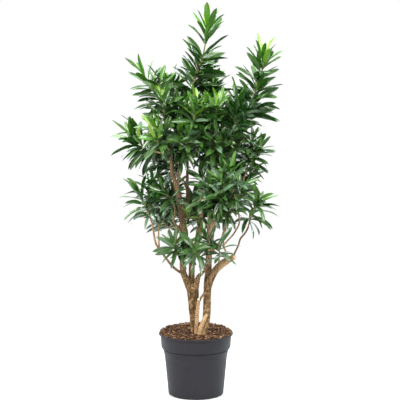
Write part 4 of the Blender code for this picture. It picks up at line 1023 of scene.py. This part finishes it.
def leafPiece(name, leaves, material):
    # every leaf of one finish as one joined mesh, computed as arrays
    rows, strips = leafLook["rows"], leafLook["strips"]
    root, out, heading, side, length, broad, arch, hang, twist, phase, chance = (
        np.array([leaf[key] for leaf in leaves], dtype=float)
        for key in ("root", "out", "heading", "side", "length", "width", "arch", "hang", "twist", "phase", "chance"))
    t = np.linspace(0, 1, rows + 1)
    down = np.array((0.0, 0.0, -1.0))
    lift = arch[:, None, None] * (0.45 - t)[None, :, None] * heading[:, None, :]
    fall = down * (hang[:, None] * (0.15 + 1.25 * t[None, :]))[:, :, None]
    direction = out[:, None, :] + lift + fall
    direction /= np.linalg.norm(direction, axis=2, keepdims=True)
    steps = (direction[:, 1:] + direction[:, :-1]) / 2 * (length / rows)[:, None, None]
    spine = np.concatenate([root[:, None, :], root[:, None, :] + np.cumsum(steps, axis=1)], axis=1)
    across = side[:, None, :] - direction * np.sum(side[:, None, :] * direction, axis=2, keepdims=True)
    across /= np.linalg.norm(across, axis=2, keepdims=True)
    upper = np.cross(direction, across)
    turn = (twist[:, None] * t[None, :] ** 1.5)[:, :, None]
    across, upper = across * np.cos(turn) + upper * np.sin(turn), upper * np.cos(turn) - across * np.sin(turn)
    width = np.interp(t, leafOutline["at"], leafOutline["width"])[None, :] * broad[:, None] / 2
    fold = np.interp(t, leafOutline["foldAt"], leafOutline["fold"])[None, :] * (0.75 + 0.5 * chance)[:, None]
    x = np.linspace(-1, 1, strips + 1)[None, None, :]
    wave = 0.10 * x**2 * np.sin(math.tau * 1.6 * t[None, :, None] + phase[:, None, None] + (x > 0) * 1.9)
    reach = width[:, :, None] * x * np.cos(fold)[:, :, None]
    rise = width[:, :, None] * (np.abs(x) * np.sin(fold)[:, :, None] + wave)
    points = spine[:, :, None, :] + across[:, :, None, :] * reach[..., None] + upper[:, :, None, :] * rise[..., None]
    row = strips + 1
    body = points[:, :rows].reshape(len(leaves), rows * row, 3)
    tips = spine[:, rows:, :]
    points = np.concatenate([body, tips], axis=1)
    perLeaf = rows * row + 1
    quads = [(r * row + s, r * row + s + 1, (r + 1) * row + s + 1, (r + 1) * row + s)
             for r in range(rows - 1) for s in range(strips)]
    ends = [((rows - 1) * row + s, (rows - 1) * row + s + 1, rows * row) for s in range(strips)]
    starts = (np.arange(len(leaves)) * perLeaf)[:, None, None]
    blocks = [(np.array(quads)[None] + starts).reshape(-1, 4), (np.array(ends)[None] + starts).reshape(-1, 3)]
    ribShare = np.concatenate([np.tile(np.abs(x[0, 0]), rows), [0.0]])
    rootShare = np.concatenate([np.repeat(t[:rows], row), [1.0]])
    layers = {"tone": np.repeat(chance, perLeaf), "fromRib": np.tile(ribShare, len(leaves)),
              "fromRoot": np.tile(rootShare, len(leaves))}
    item = addPiece(name, meshFromArrays(name, points.reshape(-1, 3), blocks, layers))
    item.data.materials.append(material)
    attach(item, "root")
    return item


leafFinishes = dict(
    leavesBright=dict(slot="leaf_bright", colour=(0.19, 0.44, 0.012), other=(0.10, 0.32, 0.006),
                      under=(0.25, 0.44, 0.05), roughness=0.27),
    leavesFresh=dict(slot="leaf_bright", colour=(0.045, 0.20, 0.003), other=(0.08, 0.26, 0.005),
                     under=(0.10, 0.26, 0.035), roughness=0.26),
    leavesDeep=dict(slot="leaf_green", colour=(0.011, 0.088, 0.001), other=(0.024, 0.130, 0.002),
                    under=(0.065, 0.165, 0.03), roughness=0.25),
    leavesDark=dict(slot="leaf_dark", colour=(0.004, 0.048, 0.001), other=(0.010, 0.074, 0.001),
                    under=(0.045, 0.12, 0.022), roughness=0.24),
    leavesGrey=dict(slot="leaf_green", colour=(0.009, 0.062, 0.003), other=(0.020, 0.095, 0.006),
                    under=(0.075, 0.16, 0.045), roughness=0.26),
    # a pale blue-grey colour that paints the sheen of gloss onto a leaf
    leavesPaintedSheen=dict(slot="leaf_green", colour=(0.085, 0.205, 0.105), other=(0.045, 0.135, 0.055),
                    under=(0.15, 0.27, 0.15), roughness=0.28),
)
leafBase = (0.30, 0.42, 0.16)       # where a leaf clasps its shoot
leafGloss = 1.0


def leafMaterial(name):
    look = leafFinishes[name]
    material, tree, shader = newMaterial(name, look["roughness"])
    shader.inputs["Specular IOR Level"].default_value = leafGloss
    tone = useGroup(tree, unevenTone, {"Colour": (*look["colour"], 1), "Other Colour": (*look["other"], 1),
                                       "Patch Size": 14.0, "Mottle Size": 120.0, "Strength": 0.55})
    each = addNode(tree, "ShaderNodeAttribute", attribute_name="tone")
    ownTone = mixColour(tree, mapRange(tree, each.outputs["Fac"], 0.0, 1.0, 0.0, 0.7), tone["Colour"], look["other"])
    rib = addNode(tree, "ShaderNodeAttribute", attribute_name="fromRib")
    ribbed = mixColour(tree, mapRange(tree, rib.outputs["Fac"], 0.0, 0.30, 0.30, 0.0), ownTone, look["under"])
    back = addNode(tree, "ShaderNodeNewGeometry").outputs["Backfacing"]
    sides = mixColour(tree, back, ribbed, look["under"])
    foot = addNode(tree, "ShaderNodeAttribute", attribute_name="fromRoot")
    clasp = mapRange(tree, foot.outputs["Fac"], 0.0, 0.16, 0.75, 0.0)
    tree.links.new(mixColour(tree, clasp, sides, leafBase), shader.inputs["Base Color"])
    sheen = useGroup(tree, speckle, {"Size": 45.0, "Share": 0.35})
    tree.links.new(mapRange(tree, sheen["Mask"], 0.0, 1.0, look["roughness"] - 0.06, look["roughness"] + 0.06),
                   shader.inputs["Roughness"])
    place = addNode(tree, "ShaderNodeTexCoord").outputs["Object"]
    fine = addNode(tree, "ShaderNodeTexNoise", {"Vector": place, "Scale": 260.0, "Detail": 3.0})
    addBump(tree, shader, fine.outputs["Fac"], 0.2, 0.0004)
    return material


def shootTube(line):
    # rings of a shoot with joints where leaves sat; returns points and quads
    points, faces = [], []
    fine = smoothLine(line, shootLook["spacing"])
    sides = shootLook["sides"]
    walked = 0.0
    flat = None
    for index, (place, radius) in enumerate(fine):
        if index:
            walked += (place - fine[index - 1][0]).length
        after = fine[min(index + 1, len(fine) - 1)][0]
        before = fine[max(index - 1, 0)][0]
        heading = (after - before).normalized()
        flat = heading.orthogonal().normalized() if flat is None else (flat - heading * flat.dot(heading)).normalized()
        other = heading.cross(flat)
        for side in range(sides):
            angle = math.tau * side / sides
            joint = walked / shootLook["joint"] + 0.22 * math.sin(angle) + 0.15 * math.sin(walked * 300)
            groove = math.exp(-((joint - math.floor(joint) - 0.5) / 0.16) ** 2)
            reach = radius * (1 - shootLook["jointDepth"] * groove)
            points.append(place + (flat * math.cos(angle) + other * math.sin(angle)) * reach)
    for ring in range(len(fine) - 1):
        for side in range(sides):
            low, high = ring * sides, (ring + 1) * sides
            faces.append((low + side, low + (side + 1) % sides, high + (side + 1) % sides, high + side))
    caps = [(fine[0][0], range(sides - 1, -1, -1)), (fine[-1][0], range((len(fine) - 1) * sides, len(fine) * sides))]
    triangles = []
    for middle, corners in caps:
        corners = list(corners)
        points.append(middle)
        for index, corner in enumerate(corners):
            triangles.append((corner, corners[(index + 1) % sides], len(points) - 1))
    return points, faces, triangles


def shootPiece(name, lines, material):
    points, quads, triangles = [], [], []
    for line in lines:
        newPoints, newQuads, newTriangles = shootTube(line)
        start = len(points)
        points += newPoints
        quads += [tuple(start + corner for corner in face) for face in newQuads]
        triangles += [tuple(start + corner for corner in face) for face in newTriangles]
    mesh = meshFromArrays(name, np.array(points), [np.array(quads), np.array(triangles)])
    item = addPiece(name, mesh)
    item.data.materials.append(material)
    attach(item, "root")
    return item


def splitLine(line, share):
    # the lower and the upper part of a line, meeting at a share of its points
    middle = max(2, min(len(line) - 2, round(share * (len(line) - 1))))
    return line[:middle + 1], line[middle:]


print("growing the shoots and leaves")
allLeaves = []
lowerParts = []
upperParts = []
for seed, (name, recipe) in enumerate(masses.items()):
    stem, twigs, leaves = planShoot(recipe.get("seed", seed), name, recipe)
    allLeaves += leaves
    lower, upper = splitLine(stem, shootLook["greenFrom"])
    lowerParts.append(lower)
    upperParts += [upper, *twigs]
shootPiece("shootsTan", lowerParts, barks["paleBark"])
shootPiece("shootsGreen", upperParts, barks["greenBark"])
for kind in leafFinishes:
    some = [leaf for leaf in allLeaves if leafKind(leaf) == kind]
    leafPiece(kind, some, leafMaterial(kind))
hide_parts(*masses)
print("leaves:", len(allLeaves))


potLook = dict(
    height=0.250, steps=128, wall=0.003, floor=0.004, lipRadius=0.150, lipHeight=0.006, collarRadius=0.1425,
    collarFoot=0.1388, collarDepth=0.058, stepHeight=0.008, bodyRadius=0.131, waistRadius=0.1255,
    waistHeight=0.155, baseRadius=0.1105, baseRounding=0.005, beadHeight=0.0032, rings=(0.172, 0.162),
    notches=6, notchWidth=0.016, notchHeight=0.004,
    colour=(0.0168, 0.0160, 0.0212), dusty=(0.029, 0.0277, 0.035), roughness=0.55, gloss=0.17,
)


def potOutline():
    look = potLook
    foot = look["height"] - look["collarDepth"]
    wall = look["wall"]
    inside = [(0, look["floor"]), (look["baseRadius"] - wall, look["floor"]),
              (look["waistRadius"] - wall, look["waistHeight"]),
              (look["bodyRadius"] - wall, foot - look["stepHeight"] + 0.001),
              (look["collarFoot"] - wall, foot + 0.001), (look["collarRadius"] - wall, look["height"] - 0.003),
              (look["collarRadius"] - wall + 0.002, look["height"])]
    outside = [(look["lipRadius"] - 0.0022, look["height"]), (look["lipRadius"] - 0.0006, look["height"] - 0.0008),
               (look["lipRadius"], look["height"] - 0.0025), (look["lipRadius"], look["height"] - 0.0048),
               (look["lipRadius"] - 0.0008, look["height"] - look["lipHeight"]),
               (look["collarRadius"] + 0.0006, look["height"] - look["lipHeight"] - 0.0006),
               (look["collarRadius"], look["height"] - look["lipHeight"] - 0.0022),
               (look["collarFoot"] + 0.0004, foot + 0.0012), (look["collarFoot"] - 0.001, foot - 0.0006),
               (look["collarFoot"] - 0.003, foot - 0.002),
               (look["bodyRadius"] + 0.0006, foot - look["stepHeight"] + 0.0030),
               (look["bodyRadius"] + 0.0020, foot - look["stepHeight"] + 0.0016),
               (look["bodyRadius"] + 0.0021, foot - look["stepHeight"] - 0.0006),
               (look["bodyRadius"] - 0.0006, foot - look["stepHeight"] - look["beadHeight"])]
    for middle in look["rings"]:
        share = (middle - look["waistHeight"]) / (foot - look["stepHeight"] - look["waistHeight"])
        radius = look["waistRadius"] + (look["bodyRadius"] - look["waistRadius"]) * share
        outside += [(radius, middle + 0.0014), (radius + 0.0010, middle), (radius, middle - 0.0014)]
    outside.append((look["waistRadius"], look["waistHeight"]))
    base = look["baseRadius"]
    outside += [(base + 0.0005, 0.008), (base, look["baseRounding"]), (base - 0.0015, 0.0018), (base - 0.0045, 0.0002),
                (base - 0.006, 0), (base - 0.011, 0), (base - 0.0125, 0.0016), (0, 0.0016)]
    return inside + outside


def makePot():
    shape = bmesh.new()
    corners = [shape.verts.new((radius, 0, height)) for radius, height in potOutline()]
    edges = [shape.edges.new(pair) for pair in zip(corners, corners[1:])]
    bmesh.ops.spin(shape, geom=corners + edges, axis=(0, 0, 1), cent=(0, 0, 0), angle=math.tau,
                   steps=potLook["steps"], use_merge=True)
    bmesh.ops.remove_doubles(shape, verts=shape.verts, dist=0.00001)
    bmesh.ops.recalc_face_normals(shape, faces=shape.faces)
    pot = addPiece("nurseryPot", shape)
    cutters = []
    for index in range(potLook["notches"]):
        cube = bmesh.new()
        bmesh.ops.create_cube(cube, size=1)
        size = Matrix.Diagonal((0.014, potLook["notchWidth"], 2 * potLook["notchHeight"], 1))
        place = Matrix.Translation((potLook["baseRadius"] - 0.003, 0, 0))
        turn = Matrix.Rotation(math.tau * (index + 0.5) / potLook["notches"], 4, "Z")
        bmesh.ops.bevel(cube, geom=cube.edges[:], offset=0.08, segments=2, affect="EDGES")
        cube.transform(turn @ place @ size)
        cutter = addPiece(f"notch{index}", cube)
        cutters.append(cutter)
        cut = pot.modifiers.new("notch", "BOOLEAN")
        cut.operation = "DIFFERENCE"
        cut.solver = "EXACT"
        cut.object = cutter
    settle(pot)
    for cutter in cutters:
        bpy.data.objects.remove(cutter, do_unlink=True)
    pot.data.shade_smooth()
    pot.data.set_sharp_from_angle(angle=math.radians(38))
    material, tree, shader = newMaterial("blackPlastic", potLook["roughness"])
    shader.inputs["Specular IOR Level"].default_value = potLook["gloss"]
    tone = useGroup(tree, unevenTone, {"Colour": (*potLook["colour"], 1), "Other Colour": (*potLook["dusty"], 1),
                                       "Patch Size": 9.0, "Mottle Size": 70.0, "Strength": 0.5})
    grit = useGroup(tree, speckle, {"Size": 900.0, "Share": 0.18})
    tree.links.new(mixColour(tree, grit["Mask"], tone["Colour"], potLook["dusty"]), shader.inputs["Base Color"])
    tree.links.new(mapRange(tree, tone["Mask"], 0.0, 1.0, 0.48, 0.66), shader.inputs["Roughness"])
    place = addNode(tree, "ShaderNodeTexCoord").outputs["Object"]
    fine = addNode(tree, "ShaderNodeTexNoise", {"Vector": place, "Scale": 600.0, "Detail": 2.0})
    addBump(tree, shader, fine.outputs["Fac"], 0.12, 0.0003)
    pot.data.materials.clear()
    pot.data.materials.append(material)
    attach(pot, "root")
    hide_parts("pot")


print("turning the pot")
makePot()


soilLook = dict(
    level=0.2465, edgeLevel=0.2480, radius=0.1382, lift=0.0085, rings=34, sides=96, skirt=0.03,
    chips=8600, chipReach=0.1445, lipLevel=0.2503, chipLength=(0.0024, 0.012), chipSeed=23,
    kinds=dict(
        soilChips=dict(share=0.42, colour=(0.155, 0.074, 0.036), other=(0.068, 0.031, 0.015)),
        soilDarkChips=dict(share=0.47, colour=(0.036, 0.015, 0.007), other=(0.012, 0.0052, 0.0028)),
        soilPaleChips=dict(share=0.11, colour=(0.40, 0.24, 0.130), other=(0.21, 0.115, 0.058)),
    ),
)


def soilHeight(x, y):
    fromMiddle = math.hypot(x, y) / soilLook["radius"]
    level = soilLook["level"] + (soilLook["edgeLevel"] - soilLook["level"]) * fromMiddle
    rise = soilLook["lift"] * max(0.0, y / soilLook["radius"]) * fromMiddle
    lumps = 0.0030 * noise.noise(Vector((x * 38, y * 38, 3.0))) + 0.0016 * noise.noise(Vector((x * 110, y * 110, 8.0)))
    return level + rise + lumps


def soilMaterial(name, colour, other):
    material, tree, shader = newMaterial(name, 0.93)
    shader.inputs["Specular IOR Level"].default_value = barkGloss
    tone = useGroup(tree, unevenTone, {"Colour": (*colour, 1), "Other Colour": (*other, 1), "Patch Size": 70.0,
                                       "Mottle Size": 420.0, "Strength": 0.95})
    tree.links.new(tone["Colour"], shader.inputs["Base Color"])
    place = addNode(tree, "ShaderNodeTexCoord").outputs["Object"]
    fine = addNode(tree, "ShaderNodeTexNoise", {"Vector": place, "Scale": 700.0, "Detail": 5.0})
    addBump(tree, shader, fine.outputs["Fac"], 0.7, 0.0008)
    return material


def makeSoil():
    look = soilLook
    points = [(0, 0, soilHeight(0, 0))]
    for ring in range(1, look["rings"] + 1):
        radius = look["radius"] * ring / look["rings"]
        for side in range(look["sides"]):
            angle = math.tau * side / look["sides"]
            x, y = radius * math.cos(angle), radius * math.sin(angle)
            points.append((x, y, soilHeight(x, y)))
    sides = look["sides"]
    for side in range(sides):
        angle = math.tau * side / sides
        points.append((look["radius"] * 0.955 * math.cos(angle), look["radius"] * 0.955 * math.sin(angle),
                       look["edgeLevel"] - look["skirt"]))
    points.append((0, 0, look["edgeLevel"] - look["skirt"]))
    quads, triangles = [], []
    for ring in range(look["rings"]):
        low, high = 1 + ring * sides, 1 + (ring + 1) * sides
        for side in range(sides):
            quads.append((low + side, high + side, high + (side + 1) % sides, low + (side + 1) % sides))
    foot = 1 + look["rings"] * sides
    for side in range(sides):
        triangles.append((0, 1 + side, 1 + (side + 1) % sides))
        triangles.append((foot + (side + 1) % sides, foot + side, len(points) - 1))
    ground = addPiece("soilGround", meshFromArrays("soilGround", np.array(points), [np.array(quads), np.array(triangles)]))
    ground.data.materials.append(soilMaterial("soilPeat", (0.022, 0.010, 0.005), (0.050, 0.024, 0.012)))
    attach(ground, "root")
    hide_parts("soil")
    return ground


def chipShape():
    # one rough chip about 1 long, 0.5 wide and 0.25 thick
    shape = bmesh.new()
    bmesh.ops.create_cube(shape, size=1)
    bmesh.ops.subdivide_edges(shape, edges=shape.edges[:], cuts=1, use_grid_fill=True)
    shape.verts.ensure_lookup_table()
    points = np.array([corner.co[:] for corner in shape.verts])
    faces = np.array([[corner.index for corner in face.verts] for face in shape.faces])
    shape.free()
    points /= np.maximum(1.0, np.linalg.norm(points, axis=1, keepdims=True) * 1.25)
    return points * np.array((1.0, 0.5, 0.25)), faces


def makeChips():
    look = soilLook
    rng = np.random.default_rng(look["chipSeed"])
    base, faces = chipShape()
    dealt = rng.random(look["chips"])
    start = 0.0
    for name, kind in look["kinds"].items():
        chosen = np.where((dealt >= start) & (dealt < start + kind["share"]))[0]
        start += kind["share"]
        blocks, points = [], []
        for number in chosen:
            radius = look["chipReach"] * math.sqrt(rng.random())
            angle = math.tau * rng.random()
            x, y = radius * math.cos(angle), radius * math.sin(angle)
            small, large = look["chipLength"]
            length = small + (large - small) * rng.random() ** 2.2
            length = min(length, 2 * (look["chipReach"] - radius) + 0.006)
            rough = base * (1 + 0.28 * (rng.random(base.shape) - 0.5)) * length
            rough = rough * np.array((1, 0.7 + 0.7 * rng.random(), 0.6 + 0.9 * rng.random()))
            tilt = Matrix.Rotation((rng.random() - 0.5) * 1.1, 3, "X") @ Matrix.Rotation((rng.random() - 0.5) * 0.8, 3, "Y")
            turn = np.array(Matrix.Rotation(math.tau * rng.random(), 3, "Z") @ tilt)
            height = max(soilHeight(x, y), look["lipLevel"]) if radius > look["radius"] else soilHeight(x, y)
            middle = np.array((x, y, height + length * 0.06 + 0.0012 * rng.random()))
            blocks.append(faces + len(points) * len(base))
            points.append(rough @ turn.T + middle)
        mesh = meshFromArrays(name, np.concatenate(points), [np.concatenate(blocks)])
        mesh.shade_flat()
        chips = addPiece(name, mesh)
        chips.data.materials.append(soilMaterial(name, kind["colour"], kind["other"]))
        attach(chips, "root")


print("laying the soil")
makeSoil()
makeChips()

print("dressed")
